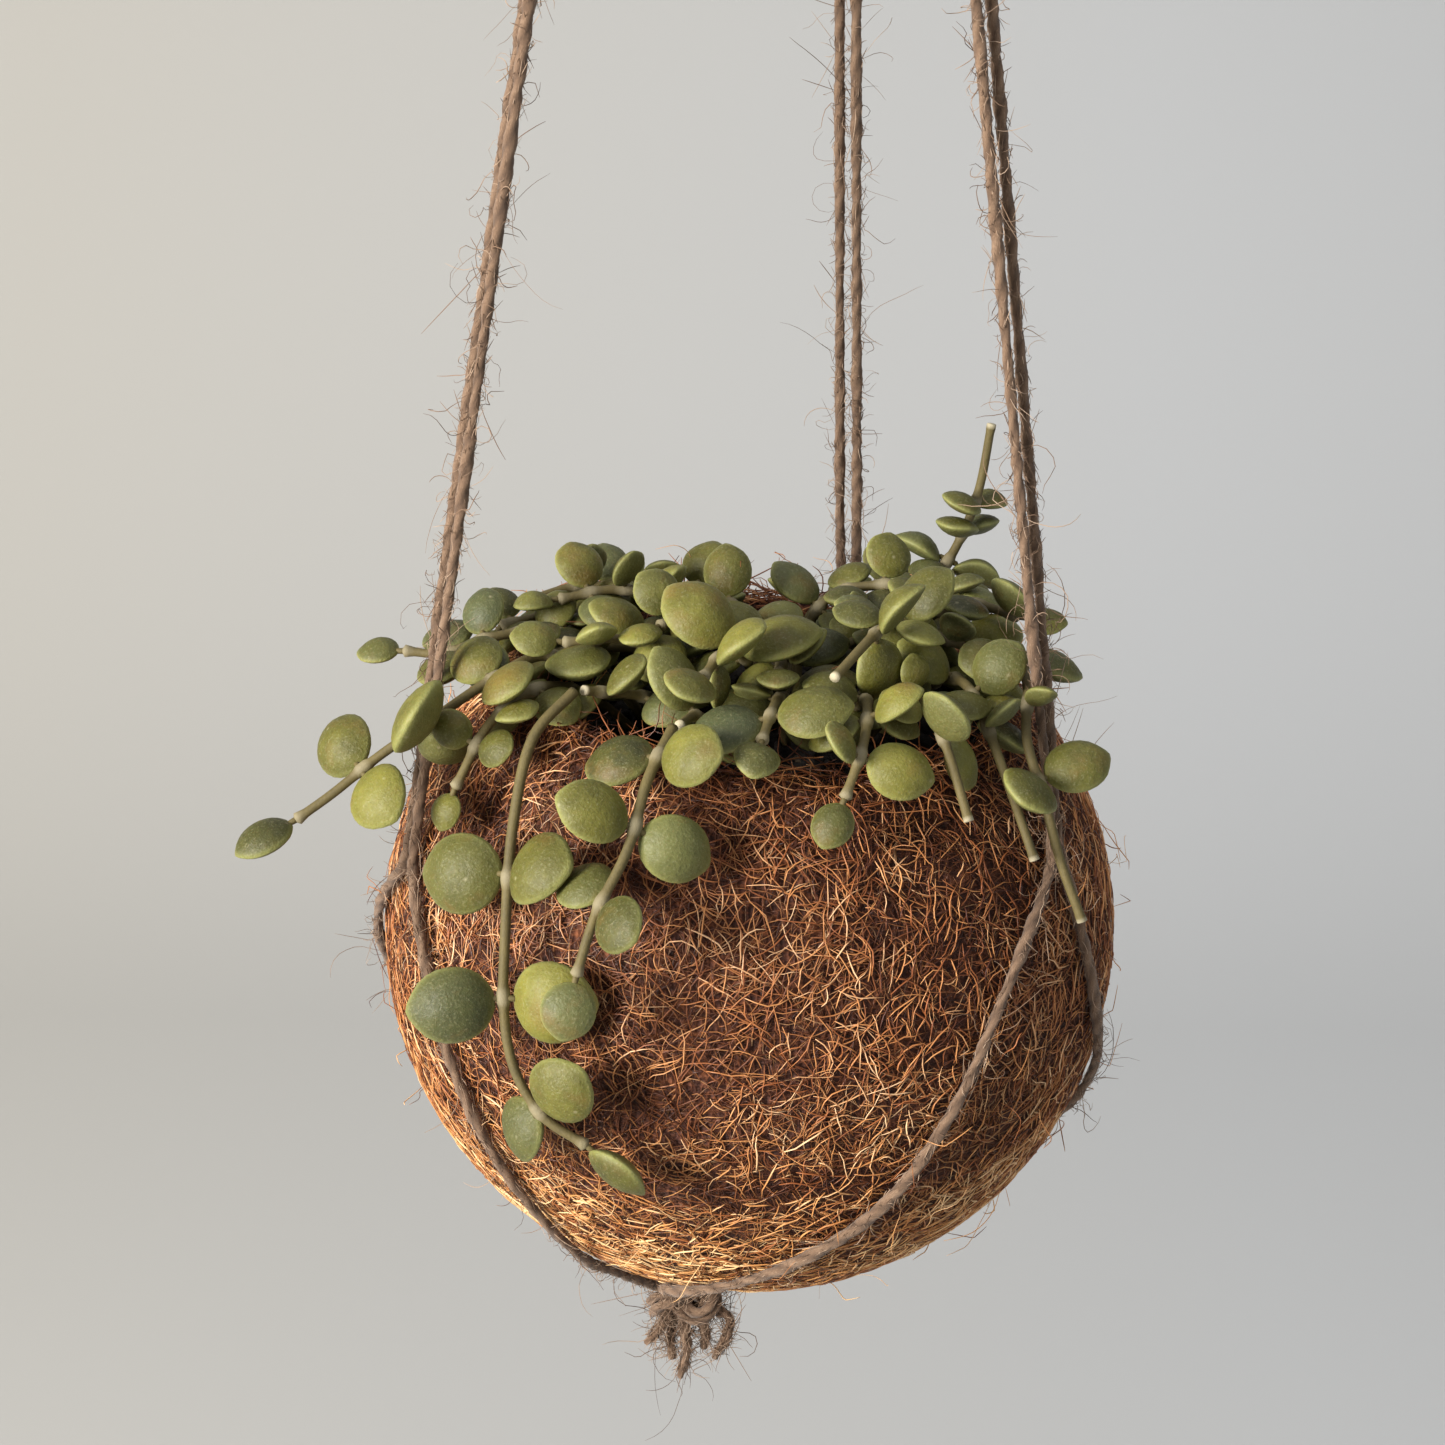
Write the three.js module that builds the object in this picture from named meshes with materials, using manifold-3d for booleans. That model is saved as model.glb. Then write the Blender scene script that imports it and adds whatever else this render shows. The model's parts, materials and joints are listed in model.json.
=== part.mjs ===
// A trailing plant in a moulded coir ball pot, hung in a six-strand jute twine sling.
// Millimetres, +Z up, +X to the right, +Y to the back. The origin is where the hanging
// eye bears on its hook, so the whole planter lies below it.
import * as THREE from 'three';
import { mergeVertices } from 'three/addons/utils/BufferGeometryUtils.js';
import Module from 'manifold-3d';

const wasm = await Module();
wasm.setup();

// Driving dimensions
const potRadius = 70;
const potWall = 4.5;
const potSides = 32;
const rimHeight = 51;
const potTilt = 3.3;
const soilHeight = 38;
const rootBallRadius = 22;
const twineRadius = 1.05;
const strandSteps = 56;
const gap = 0.35;
const hangDrop = 450;
const topKnotHeight = 410;
const topKnotReach = 8.6;
const bottomKnotAt = [-12, -6, -81];
const bottomKnotReach = 7.2;
const eyeWidth = 22;
const eyeTwineRadius = 2.3;
const stemRadius = 1;
const leafThickness = 2.6;

const wrapRadius = potRadius + twineRadius + gap;
const degrees = THREE.MathUtils.degToRad;

const twineJute = { color: 0xa98a68, roughness: 0.95, metalness: 0 };
const coir = { color: 0x7d5130, roughness: 1, metalness: 0 };
const pottingMix = { color: 0x1d1613, roughness: 1, metalness: 0 };
const roots = { color: 0x8a7352, roughness: 0.95, metalness: 0 };
const foliage = { color: 0x7f8a42, roughness: 0.6, metalness: 0 };

// Each strand: where it leaves the top knot (degrees about the knot, then below it),
// then its way over the ball as [azimuth, latitude] in degrees, then its place on the
// lower knot (azimuth about the knot, latitude on it).
const strands = {
  strand_left_front: {
    exit: [225, -35],
    wrap: [[203.6, 20], [209, 15], [215, 8], [222, -5], [228, -19], [233, -33], [234, -44], [230, -53]],
    enter: [228, 32],
  },
  strand_left_back: {
    exit: [135, -35],
    wrap: [[200.4, 18], [191, 8], [178, -8], [166, -26], [158, -42], [158, -54]],
    enter: [150, 32],
  },
  strand_right_front: {
    exit: [290, -20],
    wrap: [[325.6, 26], [315, 18], [307, 9], [299, -5], [290, -20], [278, -32], [264, -43], [248, -55]],
    enter: [270, 32],
  },
  strand_right_back: {
    exit: [335, -12],
    wrap: [[328.4, 26], [328, 19], [329, 11], [333, -2], [342, -16], [354, -34], [368, -54], [380, -70]],
    enter: [10, 32],
  },
  strand_back_left: {
    exit: [42, -6],
    wrap: [[73.6, 16], [79, 5], [88, -12], [98, -30], [108, -49], [112, -64]],
    enter: [92, 32],
  },
  strand_back_right: {
    exit: [8, -4],
    wrap: [[70.4, 16], [65, 5], [57, -12], [48, -32], [42, -53], [38, -70]],
    enter: [45, 32],
  },
};

// Cut ends below the lower knot: route points relative to the knot's centre.
const tassels = {
  tassel_long: [[0.5, -2, -7.6], [0.8, -2.6, -13], [-0.6, -3, -18.5]],
  tassel_middle: [[-2.2, 0.6, -7.6], [-2.6, 0.4, -12], [-2.2, 0, -16]],
  tassel_left: [[-4.6, -2, -7], [-6, -3, -8.6], [-7.6, -3.4, -10]],
  tassel_right: [[9.4, -2.4, -4.4], [9, -3.2, -7.6], [6.4, -4, -13]],
  tassel_right_back: [[4, -0.6, -7.2], [4.6, -0.8, -9.6], [4.2, -1, -12.6]],
  tassel_back: [[0, 5, -7], [0.5, 6.4, -10], [-0.6, 6.6, -15]],
};

// Stems, from the crown to the tip, in the ball's own frame. bare is the leafless
// length at the root, tail the one at the tip, spacing the way between leaf pairs,
// leaf the leaf's radius and turn the first pair's turn about the stem.
const vines = {
  vine_trail_long_root: {
    route: [[-12, -10, 43], [-18, -22, 55], [-30, -33, 61]],
    bare: 12, tail: 4, spacing: 12, leaf: 5.6, turn: 20, cut: true,
  },
  vine_trail_long: {
    route: [[-31.5, -34, 61.2], [-38, -42, 56], [-41, -51, 44], [-42, -60, 27], [-42, -65, 14],
      [-40, -68, 5], [-35, -71, -2], [-28, -73, -6]],
    bare: 36, tail: 5, spacing: 21, leaf: 7.2, turn: -12,
  },
  vine_trail_front_root: {
    route: [[-6, -14, 43], [-10, -34, 57], [-13, -46, 60]],
    bare: 14, tail: 4, spacing: 13, leaf: 5.6, turn: -25, cut: true,
  },
  vine_trail_front: {
    route: [[-14, -48, 60.5], [-18, -58, 55], [-21, -66, 46], [-26, -72, 37], [-29, -76, 28]],
    bare: 7, tail: 2, spacing: 14, leaf: 6, turn: -6,
  },
  vine_left_low: {
    route: [[-18, -6, 42], [-28, -14, 57], [-38, -19, 62], [-47, -27, 60], [-57, -31, 54],
      [-66, -33, 48], [-74, -36, 42], [-80, -38, 38]],
    bare: 30, tail: 3, spacing: 14, leaf: 6.8, turn: 15,
  },
  vine_left_mid: {
    route: [[-19, 1, 42], [-30, -2, 58], [-40, -4, 61], [-49, -8, 61], [-57, -8, 58], [-64, -7, 58]],
    bare: 20, tail: 2, spacing: 9, leaf: 5.4, turn: -20,
  },
  vine_left_front: {
    route: [[-20, -12, 43], [-30, -20, 55], [-38, -27, 59], [-46, -33, 55], [-52, -39, 45]],
    bare: 22, tail: 3, spacing: 10, leaf: 4.6, turn: 30,
  },
  vine_left_inner: {
    route: [[-12, -4, 43], [-16, -12, 60], [-24, -18, 65], [-34, -20, 65]],
    bare: 20, tail: 2, spacing: 10, leaf: 5.6, turn: 0,
  },
  vine_back_left: {
    route: [[-12, 10, 43], [-15, 15, 54], [-22, 18, 61], [-33, 16, 63], [-43, 10, 62]],
    bare: 22, tail: 6, spacing: 8.5, leaf: 5, turn: 30, cut: true,
  },
  vine_back_middle: {
    route: [[0, 12, 43], [0, 16, 54], [-6, 19, 60], [-15, 22, 61], [-27, 22, 61]],
    bare: 20, tail: 2, spacing: 8.5, leaf: 4.8, turn: -20,
  },
  vine_back_right: {
    route: [[6, 10, 43], [9, 17, 54], [15, 21, 60], [26, 22, 62], [37, 17, 63]],
    bare: 20, tail: 2, spacing: 8.5, leaf: 5, turn: 15,
  },
  vine_top_left: {
    route: [[-8, 2, 43], [-9, 3, 56], [-15, 4, 64], [-25, 3, 67], [-36, 0, 66]],
    bare: 20, tail: 2, spacing: 8.5, leaf: 5, turn: 25,
  },
  vine_top_middle: {
    route: [[1, 3, 43], [1, 3, 58], [-3, -3, 66], [-10, -11, 69], [-17, -19, 68]],
    bare: 22, tail: 1, spacing: 9, leaf: 5.6, turn: -15,
  },
  vine_top_right: {
    route: [[8, 3, 43], [9, 4, 57], [14, 6, 65], [24, 5, 68], [34, 2, 68]],
    bare: 21, tail: 1, spacing: 8.5, leaf: 5.2, turn: 20,
  },
  vine_middle_left: {
    route: [[-6, -4, 43], [-8, -8, 55], [-15, -10, 59], [-26, -9, 60], [-38, -10, 59]],
    bare: 20, tail: 2, spacing: 8.5, leaf: 5.2, turn: 10,
  },
  vine_middle_right: {
    route: [[10, -4, 43], [12, -6, 56], [19, -9, 62], [30, -10, 64], [41, -12, 61]],
    bare: 20, tail: 2, spacing: 8.5, leaf: 5.2, turn: -15,
  },
  vine_centre: {
    route: [[4, -4, 43], [4, -9, 57], [5, -19, 62], [4, -31, 64]],
    bare: 18, tail: 2, spacing: 9, leaf: 5.4, turn: 25,
  },
  vine_left_back: {
    route: [[-14, 6, 43], [-23, 8, 56], [-35, 6, 61], [-47, 2, 60]],
    bare: 20, tail: 2, spacing: 8.5, leaf: 4.8, turn: -10,
  },
  vine_disc: {
    route: [[0, -8, 43], [-1, -18, 60], [-5, -30, 68], [-9, -41, 67]],
    bare: 24, tail: 1, spacing: 11, leaf: 6.9, turn: 18,
  },
  vine_front: {
    route: [[6, -12, 43], [5, -28, 58], [3, -42, 62], [1, -52, 60]],
    bare: 22, tail: 2, spacing: 12, leaf: 6.2, turn: -10,
  },
  vine_stub: {
    route: [[14, -2, 42], [16, -5, 58], [25, -15, 68], [21, -31, 72], [13, -46, 69]],
    bare: 24, tail: 13, spacing: 9, leaf: 5.6, turn: 35, cut: true,
  },
  vine_front_right: {
    route: [[14, -12, 42], [18, -28, 57], [19, -40, 62], [18, -51, 59], [15, -57, 52]],
    bare: 24, tail: 1, spacing: 11, leaf: 5.6, turn: 20,
  },
  vine_right_inner: {
    route: [[20, -10, 42], [26, -24, 56], [29, -36, 61], [32, -47, 58], [36, -55, 47]],
    bare: 22, tail: 12, spacing: 10, leaf: 5.4, turn: -30, cut: true,
  },
  vine_right: {
    route: [[24, -4, 42], [33, -18, 58], [37, -28, 61], [40, -37, 57], [44, -45, 48], [48, -51, 38]],
    bare: 22, tail: 17, spacing: 10, leaf: 6.2, turn: -20, cut: true,
  },
  vine_cord_side: {
    route: [[26, 2, 42], [40, -8, 60], [46, -20, 64], [47.5, -30, 62], [47, -38, 55], [50, -43, 46],
      [53, -47, 36], [57, -50, 26]],
    bare: 26, tail: 16, spacing: 14, leaf: 5.4, turn: 25, cut: true,
  },
  vine_upright: {
    route: [[20, 10, 42], [32, 24, 58], [39, 29, 67], [43, 30, 78], [45, 30, 92]],
    bare: 22, tail: 12, spacing: 8, leaf: 5, turn: 40, cut: true,
  },
  vine_right_top: {
    route: [[22, 4, 42], [30, 2, 60], [38, -2, 67], [48, -6, 66]],
    bare: 20, tail: 1, spacing: 9, leaf: 5.2, turn: -30,
  },
};

function material(spec) {
  return new THREE.MeshStandardMaterial(spec);
}

function polar(radius, azimuth, latitude) {
  const flat = radius * Math.cos(degrees(latitude));
  return new THREE.Vector3(
    flat * Math.cos(degrees(azimuth)),
    flat * Math.sin(degrees(azimuth)),
    radius * Math.sin(degrees(latitude)),
  );
}

function vectors(points) {
  return points.map((p) => new THREE.Vector3(...p));
}

function rope(points, radius, sides, steps) {
  const corners = Array.from({ length: sides }, (_, i) => {
    const angle = (2 * Math.PI * i) / sides;
    return new THREE.Vector2(radius * Math.cos(angle), radius * Math.sin(angle));
  });
  const path = new THREE.CatmullRomCurve3(points, false, 'centripetal');
  return new THREE.ExtrudeGeometry(new THREE.Shape(corners), {
    steps,
    bevelEnabled: false,
    extrudePath: path,
  });
}

function turned(profile, sides) {
  const geometry = new THREE.LatheGeometry(profile.map((p) => new THREE.Vector2(...p)), sides);
  geometry.rotateX(Math.PI / 2);
  return geometry;
}

function solid(geometry) {
  const bare = geometry.clone();
  bare.deleteAttribute('normal');
  bare.deleteAttribute('uv');
  const merged = mergeVertices(bare, 1e-4);
  return new wasm.Manifold(new wasm.Mesh({
    numProp: 3,
    vertProperties: new Float32Array(merged.attributes.position.array),
    triVerts: new Uint32Array(merged.index.array),
  }));
}

function geometryOf(body) {
  const mesh = body.getMesh();
  const geometry = new THREE.BufferGeometry();
  geometry.setAttribute('position', new THREE.BufferAttribute(mesh.vertProperties, 3));
  geometry.setIndex(new THREE.BufferAttribute(mesh.triVerts, 1));
  geometry.computeVertexNormals();
  return geometry;
}

function largestPart(body) {
  const parts = body.decompose();
  return parts.reduce((best, part) => (part.volume() > best.volume() ? part : best));
}

function named(name, geometry, spec) {
  const mesh = new THREE.Mesh(geometry, material(spec));
  mesh.name = name;
  return mesh;
}

// An arc of a meridian of a ball, from one latitude to another, as [radius, height].
function meridian(radius, from, to, count) {
  return Array.from({ length: count }, (_, i) => {
    const latitude = degrees(from + ((to - from) * i) / (count - 1));
    return [Math.max(0, radius * Math.cos(latitude)), radius * Math.sin(latitude)];
  });
}

// The pot: a ball cut off at the rim and hollowed to an even wall with a rounded lip.
function potGeometry() {
  const inner = potRadius - potWall;
  const rimLatitude = THREE.MathUtils.radToDeg(Math.asin(rimHeight / potRadius));
  const innerLatitude = THREE.MathUtils.radToDeg(Math.asin((rimHeight - 0.5) / inner));
  const rimRadius = potRadius * Math.cos(degrees(rimLatitude));
  return turned([
    ...meridian(potRadius, -90, rimLatitude, 14),
    [rimRadius - 1.6, rimHeight + 1.5],
    [rimRadius - 3.8, rimHeight + 1.2],
    ...meridian(inner, innerLatitude, -90, 11),
  ], potSides);
}

// Potting mix: fills the pot to below its rim, with a socket for the root ball.
function soilGeometry() {
  const outer = potRadius - potWall - 0.6;
  const top = THREE.MathUtils.radToDeg(Math.asin(soilHeight / outer));
  return turned([
    ...meridian(outer, -90, top, 9),
    [rootBallRadius + 8, soilHeight + 1.5],
    [rootBallRadius + gap, soilHeight + 2],
    [rootBallRadius + 3 + gap, 24],
    [rootBallRadius - 2, 10],
    [0, 4],
  ], potSides);
}

function rootBallGeometry() {
  return turned([
    [0, 4 + 3 * gap],
    [rootBallRadius - 3, 10 + 2 * gap],
    [rootBallRadius + 2, 24],
    [rootBallRadius - 0.4, soilHeight + 2.2],
    [10, soilHeight + 3],
    [0, soilHeight + 3.2],
  ], 20);
}

// A tied knot: a rounded core with two passes of the gathered twines round it.
function knotGeometry(wide, deep, tall, pass) {
  const core = new THREE.SphereGeometry(1, 12, 8);
  core.scale(wide * 0.86, tall * 0.86, deep * 0.86);
  core.rotateX(Math.PI / 2);
  const turns = [-24, 30].map((tilt) => {
    const ring = new THREE.TorusGeometry(wide - pass, pass, 5, 14);
    ring.scale(1, deep / wide, 1);
    ring.rotateY(degrees(tilt));
    return solid(ring);
  });
  return geometryOf(turns.reduce((all, ring) => all.add(ring), solid(core)));
}

// The eye: the three twines bent double side by side, from one side of the knot up
// over the hook and back down into its other side.
function eyeGeometry() {
  const knotHeight = topKnotHeight - hangDrop;
  const foot = polar(topKnotReach + gap, 0, 62);
  const half = eyeWidth / 2;
  const side = [[half * 0.62, -22], [half, -11], [half * 0.72, -1.2]];
  const points = [
    new THREE.Vector3(foot.x, 0, knotHeight + foot.z),
    ...side.map(([x, z]) => new THREE.Vector3(x, 0, z)),
    new THREE.Vector3(0, 0, eyeTwineRadius),
    ...side.toReversed().map(([x, z]) => new THREE.Vector3(-x, 0, z)),
    new THREE.Vector3(-foot.x, 0, knotHeight + foot.z),
  ];
  return rope(points, eyeTwineRadius, 8, 28);
}

// A strand's line in the ball's frame: straight from the top knot to where it meets
// the ball, on over the ball, then straight to the lower knot.
function strandPoints({ exit, wrap, enter }) {
  const start = polar(topKnotReach + gap + 0.6, exit[0], exit[1]);
  start.z += topKnotHeight;
  const turns = wrap.map(([azimuth, latitude]) => new THREE.Vector3(azimuth, latitude, 0));
  const bends = new THREE.CatmullRomCurve3(turns, false, 'centripetal');
  const count = 4 * (wrap.length - 1);
  const over = bends.getPoints(count).map((bend) => polar(wrapRadius, bend.x, bend.y));
  const end = polar(bottomKnotReach + gap, enter[0], enter[1]);
  end.add(new THREE.Vector3(...bottomKnotAt));
  const straight = Array.from({ length: 8 }, (_, i) => start.clone().lerp(over[0], i / 8));
  return [...straight, ...over, end];
}

// Stems and leaves. A leaf is a round lens whose edge sits in the stem.
function leafSolid(leaf, grow) {
  const radius = leaf.radius + grow;
  const half = leafThickness / 2 + grow;
  const geometry = turned([[0, -half], [radius, 0], [0, half]], 8);
  const across = new THREE.Vector3().crossVectors(leaf.normal, leaf.out).normalize();
  const basis = new THREE.Matrix4().makeBasis(leaf.out, across, leaf.normal);
  basis.setPosition(leaf.centre);
  geometry.applyMatrix4(basis);
  return solid(geometry);
}

// A leaf down the ball's side faces outward, and one above the rim faces mostly up.
function facingAt(at) {
  const outward = 1 - 0.5 * THREE.MathUtils.clamp((at.z - 35) / 20, 0, 1);
  return new THREE.Vector3(at.x * outward, at.y * outward, at.z).normalize();
}

// One leaf on a stem, and the same leaf lifted, lowered or smaller where that has no room.
function leafChoices(at, tangent, first, facing, lift, radius) {
  const choices = [];
  for (const share of [1, 0.82]) {
    for (const more of [0, 28, -28, 52, -52]) {
      const out = first.clone().applyAxisAngle(tangent, degrees(lift + more)).normalize();
      const normal = facing.clone().addScaledVector(out, -facing.dot(out)).normalize();
      const reach = radius * share;
      const centre = at.clone().addScaledVector(out, reach * 0.95);
      choices.push({ centre, out, normal, radius: reach });
    }
  }
  return choices;
}

// Leaves sit in opposite pairs, face up over the soil and outward down the ball's side,
// each pair turned a little about the stem from the last.
function leavesOf(vine, path, length) {
  const leaves = [];
  const count = Math.max(0, Math.floor((length - vine.bare - vine.tail) / vine.spacing) + 1);
  for (let pair = 0; pair < count; pair += 1) {
    const along = (vine.bare + pair * vine.spacing) / length;
    const at = path.getPointAt(Math.min(along, 1));
    const tangent = path.getTangentAt(Math.min(along, 1));
    const facing = facingAt(at);
    const side = new THREE.Vector3().crossVectors(tangent, facing).normalize();
    const lift = vine.turn + (pair % 2 ? -25 : 25);
    const size = 1 + 0.14 * Math.sin(2.4 * pair + vine.turn);
    for (const sign of [1, -1]) {
      const first = side.clone().multiplyScalar(sign);
      leaves.push(leafChoices(at, tangent, first, facing, lift, vine.leaf * size));
    }
  }
  if (!vine.cut) {
    const at = path.getPointAt(1);
    const out = path.getTangentAt(1);
    const facing = facingAt(at);
    const level = new THREE.Vector3().crossVectors(out, facing).normalize();
    leaves.push(leafChoices(at, level, out, facing, 0, vine.leaf * 0.8));
  }
  return leaves;
}

// Builds one stem clear of everything already placed, and adds it to what is placed.
// Stems grow first, so that no stem is cut through by another vine's leaf.
function growStem(vine, placed) {
  const points = vectors(vine.route);
  const path = new THREE.CatmullRomCurve3(points, false, 'centripetal');
  const length = path.getLength();
  const steps = Math.max(6, Math.round(length / 7));
  const body = largestPart(solid(rope(points, stemRadius, 6, steps)).subtract(placed.all));
  const claimed = solid(rope(points, stemRadius + gap, 6, steps));
  placed.all = placed.all.add(claimed);
  return { path, length, body, claimed };
}

// A leaf with no room among what is already placed is left out.
function growLeaves(vine, stem, placed) {
  const others = placed.all.subtract(stem.claimed);
  let body = stem.body;
  let own = null;
  for (const choices of leavesOf(vine, stem.path, stem.length)) {
    const leaf = choices.find((choice) => leafSolid(choice, 0).intersect(others).isEmpty());
    if (leaf) {
      body = body.add(leafSolid(leaf, 0));
      own = own ? own.add(leafSolid(leaf, gap)) : leafSolid(leaf, gap);
    }
  }
  placed.all = own ? placed.all.add(own) : placed.all;
  return geometryOf(largestPart(body));
}

const planter = new THREE.Group();
planter.name = 'hanging_planter';
planter.add(named('hanging_loop', eyeGeometry(), twineJute));

const ball = new THREE.Group();
ball.position.z = -hangDrop;
planter.add(ball);

const topKnot = named('top_knot', knotGeometry(topKnotReach, topKnotReach, topKnotReach, 2.2), twineJute);
topKnot.position.z = topKnotHeight;
ball.add(topKnot);

const bottomKnot = named('bottom_knot', knotGeometry(bottomKnotReach, 6.4, 5.6, 1.8), twineJute);
bottomKnot.position.set(...bottomKnotAt);
ball.add(bottomKnot);

const placed = { all: null };
for (const [name, strand] of Object.entries(strands)) {
  const points = strandPoints(strand);
  ball.add(named(name, rope(points, twineRadius, 8, strandSteps), twineJute));
  const claimed = solid(rope(points, twineRadius + gap, 6, strandSteps));
  placed.all = placed.all ? placed.all.add(claimed) : claimed;
}

for (const [name, route] of Object.entries(tassels)) {
  const end = named(name, rope(vectors(route), twineRadius, 8, 6), twineJute);
  end.position.set(...bottomKnotAt);
  ball.add(end);
}

const tilted = new THREE.Group();
tilted.rotation.y = degrees(potTilt);
ball.add(tilted);
tilted.add(named('coir_pot', potGeometry(), coir));
tilted.add(named('potting_mix', soilGeometry(), pottingMix));
tilted.add(named('root_ball', rootBallGeometry(), roots));

for (const geometry of [potGeometry(), soilGeometry(), rootBallGeometry()]) {
  geometry.scale(1.006, 1.006, 1.006);
  geometry.rotateY(degrees(potTilt));
  placed.all = placed.all.add(solid(geometry));
}

const stems = {};
for (const [name, vine] of Object.entries(vines)) {
  stems[name] = growStem(vine, placed);
}
for (const [name, vine] of Object.entries(vines)) {
  ball.add(named(name, growLeaves(vine, stems[name], placed), foliage));
}

export default planter;
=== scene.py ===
import json
import math
import bpy
import numpy as np
from mathutils import Matrix, Vector


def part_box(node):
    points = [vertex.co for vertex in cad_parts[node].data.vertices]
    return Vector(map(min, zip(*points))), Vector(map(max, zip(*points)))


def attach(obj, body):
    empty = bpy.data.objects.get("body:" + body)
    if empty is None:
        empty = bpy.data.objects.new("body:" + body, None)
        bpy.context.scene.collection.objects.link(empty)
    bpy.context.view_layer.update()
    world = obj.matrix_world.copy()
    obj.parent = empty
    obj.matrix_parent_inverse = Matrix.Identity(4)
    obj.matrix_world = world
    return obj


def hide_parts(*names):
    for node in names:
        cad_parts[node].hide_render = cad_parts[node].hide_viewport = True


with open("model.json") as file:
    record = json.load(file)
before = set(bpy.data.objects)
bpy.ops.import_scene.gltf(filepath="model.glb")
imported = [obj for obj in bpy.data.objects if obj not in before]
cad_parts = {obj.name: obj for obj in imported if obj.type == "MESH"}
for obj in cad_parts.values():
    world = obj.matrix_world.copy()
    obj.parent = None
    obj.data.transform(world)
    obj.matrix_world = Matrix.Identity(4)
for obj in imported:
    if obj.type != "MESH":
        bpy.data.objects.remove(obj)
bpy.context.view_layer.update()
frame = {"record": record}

mm = 0.001
ballLow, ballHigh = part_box("coir_pot")
ballRadius = (ballHigh[0] - ballLow[0]) / 2
hangDepth = 0.450   # from the bearing of the eye down to the middle of the ball
ballCentre = np.array([(ballLow[0] + ballHigh[0]) / 2, (ballLow[1] + ballHigh[1]) / 2, -hangDepth])


def deselectAll():
    if bpy.context.object and bpy.context.object.mode != "OBJECT":
        bpy.ops.object.mode_set(mode="OBJECT")
    for thing in bpy.context.selected_objects:
        thing.select_set(False)


def activate(thing):
    deselectAll()
    thing.select_set(True)
    bpy.context.view_layer.objects.active = thing


# ---- camera ----
cameraLook = {
    "distance": 0.520,   # from the middle of the ball
    "elevation": 26.5,   # of the line from the ball to the camera
    "pitch": 22.23,      # the camera's own tilt below level
    "sideStep": -0.0057,
    "lens": 66.6,
    "roll": 0.8,
}


def placeCamera(look):
    up = math.radians(look["elevation"])
    bpy.ops.object.camera_add(
        location=(
            ballCentre[0] + look["sideStep"],
            ballCentre[1] - look["distance"] * math.cos(up),
            ballCentre[2] + look["distance"] * math.sin(up),
        ),
        rotation=(math.radians(90 - look["pitch"]), 0, 0),
    )
    camera = bpy.context.object
    camera.rotation_euler.rotate_axis("Z", math.radians(look["roll"]))
    camera.data.lens = look["lens"]
    camera.data.sensor_width = 36
    camera.data.clip_start = 0.02
    bpy.context.scene.camera = camera


# ---- shader maths ----
class Pin:
    # one output socket, so that patterns read as plain expressions
    def __init__(self, tree, socket):
        self.tree = tree
        self.socket = socket

    def make(self, kind, settings=None, values=None, out=0):
        node = self.tree.nodes.new(kind)
        for key, value in (settings or {}).items():
            if key == "stops":
                while len(node.color_ramp.elements) < len(value):
                    node.color_ramp.elements.new(0.5)
                for stop, (place, colour) in zip(node.color_ramp.elements, value):
                    stop.position = place
                    stop.color = (*colour, 1)
            else:
                setattr(node, key, value)
        for key, value in (values or {}).items():
            if isinstance(value, Pin):
                self.tree.links.new(value.socket, node.inputs[key])
            else:
                node.inputs[key].default_value = value
        return Pin(self.tree, node.outputs[out])

    def maths(self, operation, first, second=0.0):
        return self.make("ShaderNodeMath", {"operation": operation}, {0: first, 1: second})

    def __add__(self, other):
        return self.maths("ADD", self, other)

    def __radd__(self, other):
        return self.maths("ADD", other, self)

    def __sub__(self, other):
        return self.maths("SUBTRACT", self, other)

    def __rsub__(self, other):
        return self.maths("SUBTRACT", other, self)

    def __mul__(self, other):
        return self.maths("MULTIPLY", self, other)

    def __rmul__(self, other):
        return self.maths("MULTIPLY", other, self)

    def __pow__(self, other):
        return self.maths("POWER", self, other)

    def clamp(self):
        return self.make("ShaderNodeClamp", None, {"Value": self})

    def ramp(self, *stops):
        return self.make("ShaderNodeValToRGB", {"stops": stops}, {"Fac": self})

    def noise(self, scale, detail=4.0, rough=0.55, out=0):
        return self.make("ShaderNodeTexNoise", None,
                         {"Vector": self, "Scale": scale, "Detail": detail, "Roughness": rough}, out)

    def cells(self, scale, out=0):
        return self.make("ShaderNodeTexVoronoi", None, {"Vector": self, "Scale": scale}, out)

    def stretch(self, x, y, z):
        return self.make("ShaderNodeMapping", None, {"Vector": self, "Scale": (x, y, z)})

    def blend(self, first, second, how="MIX"):
        # this value is the share of the second colour
        return self.make("ShaderNodeMix", {"data_type": "RGBA", "blend_type": how},
                         {0: self, 6: first, 7: second}, 2)

    def bump(self, strength, distance):
        return self.make("ShaderNodeBump", None,
                         {"Height": self, "Strength": strength, "Distance": distance})

    def attribute(self, name):
        return self.make("ShaderNodeAttribute", {"attribute_name": name}, None, "Fac")


def newFinish(name, fixed):
    # a material with its constant sockets set, ready for the patterns
    finish = bpy.data.materials.new(name)
    finish.use_nodes = True
    tree = finish.node_tree
    shader = tree.nodes["Principled BSDF"]
    for key, value in fixed.items():
        shader.inputs[key].default_value = value
    where = Pin(tree, tree.nodes.new("ShaderNodeTexCoord").outputs["Object"])
    return finish, shader, where


def plug(shader, **pins):
    for key, pin in pins.items():
        pin.tree.links.new(pin.socket, shader.inputs[key.replace("_", " ")])


def rgb(colour):
    return (*colour, 1)


twineLook = {
    "dark_streak_and_groove_shade": (0.030, 0.015, 0.008),
    "crown": (0.18, 0.107, 0.062),
    "pale": (0.44, 0.305, 0.20),
}


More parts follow.
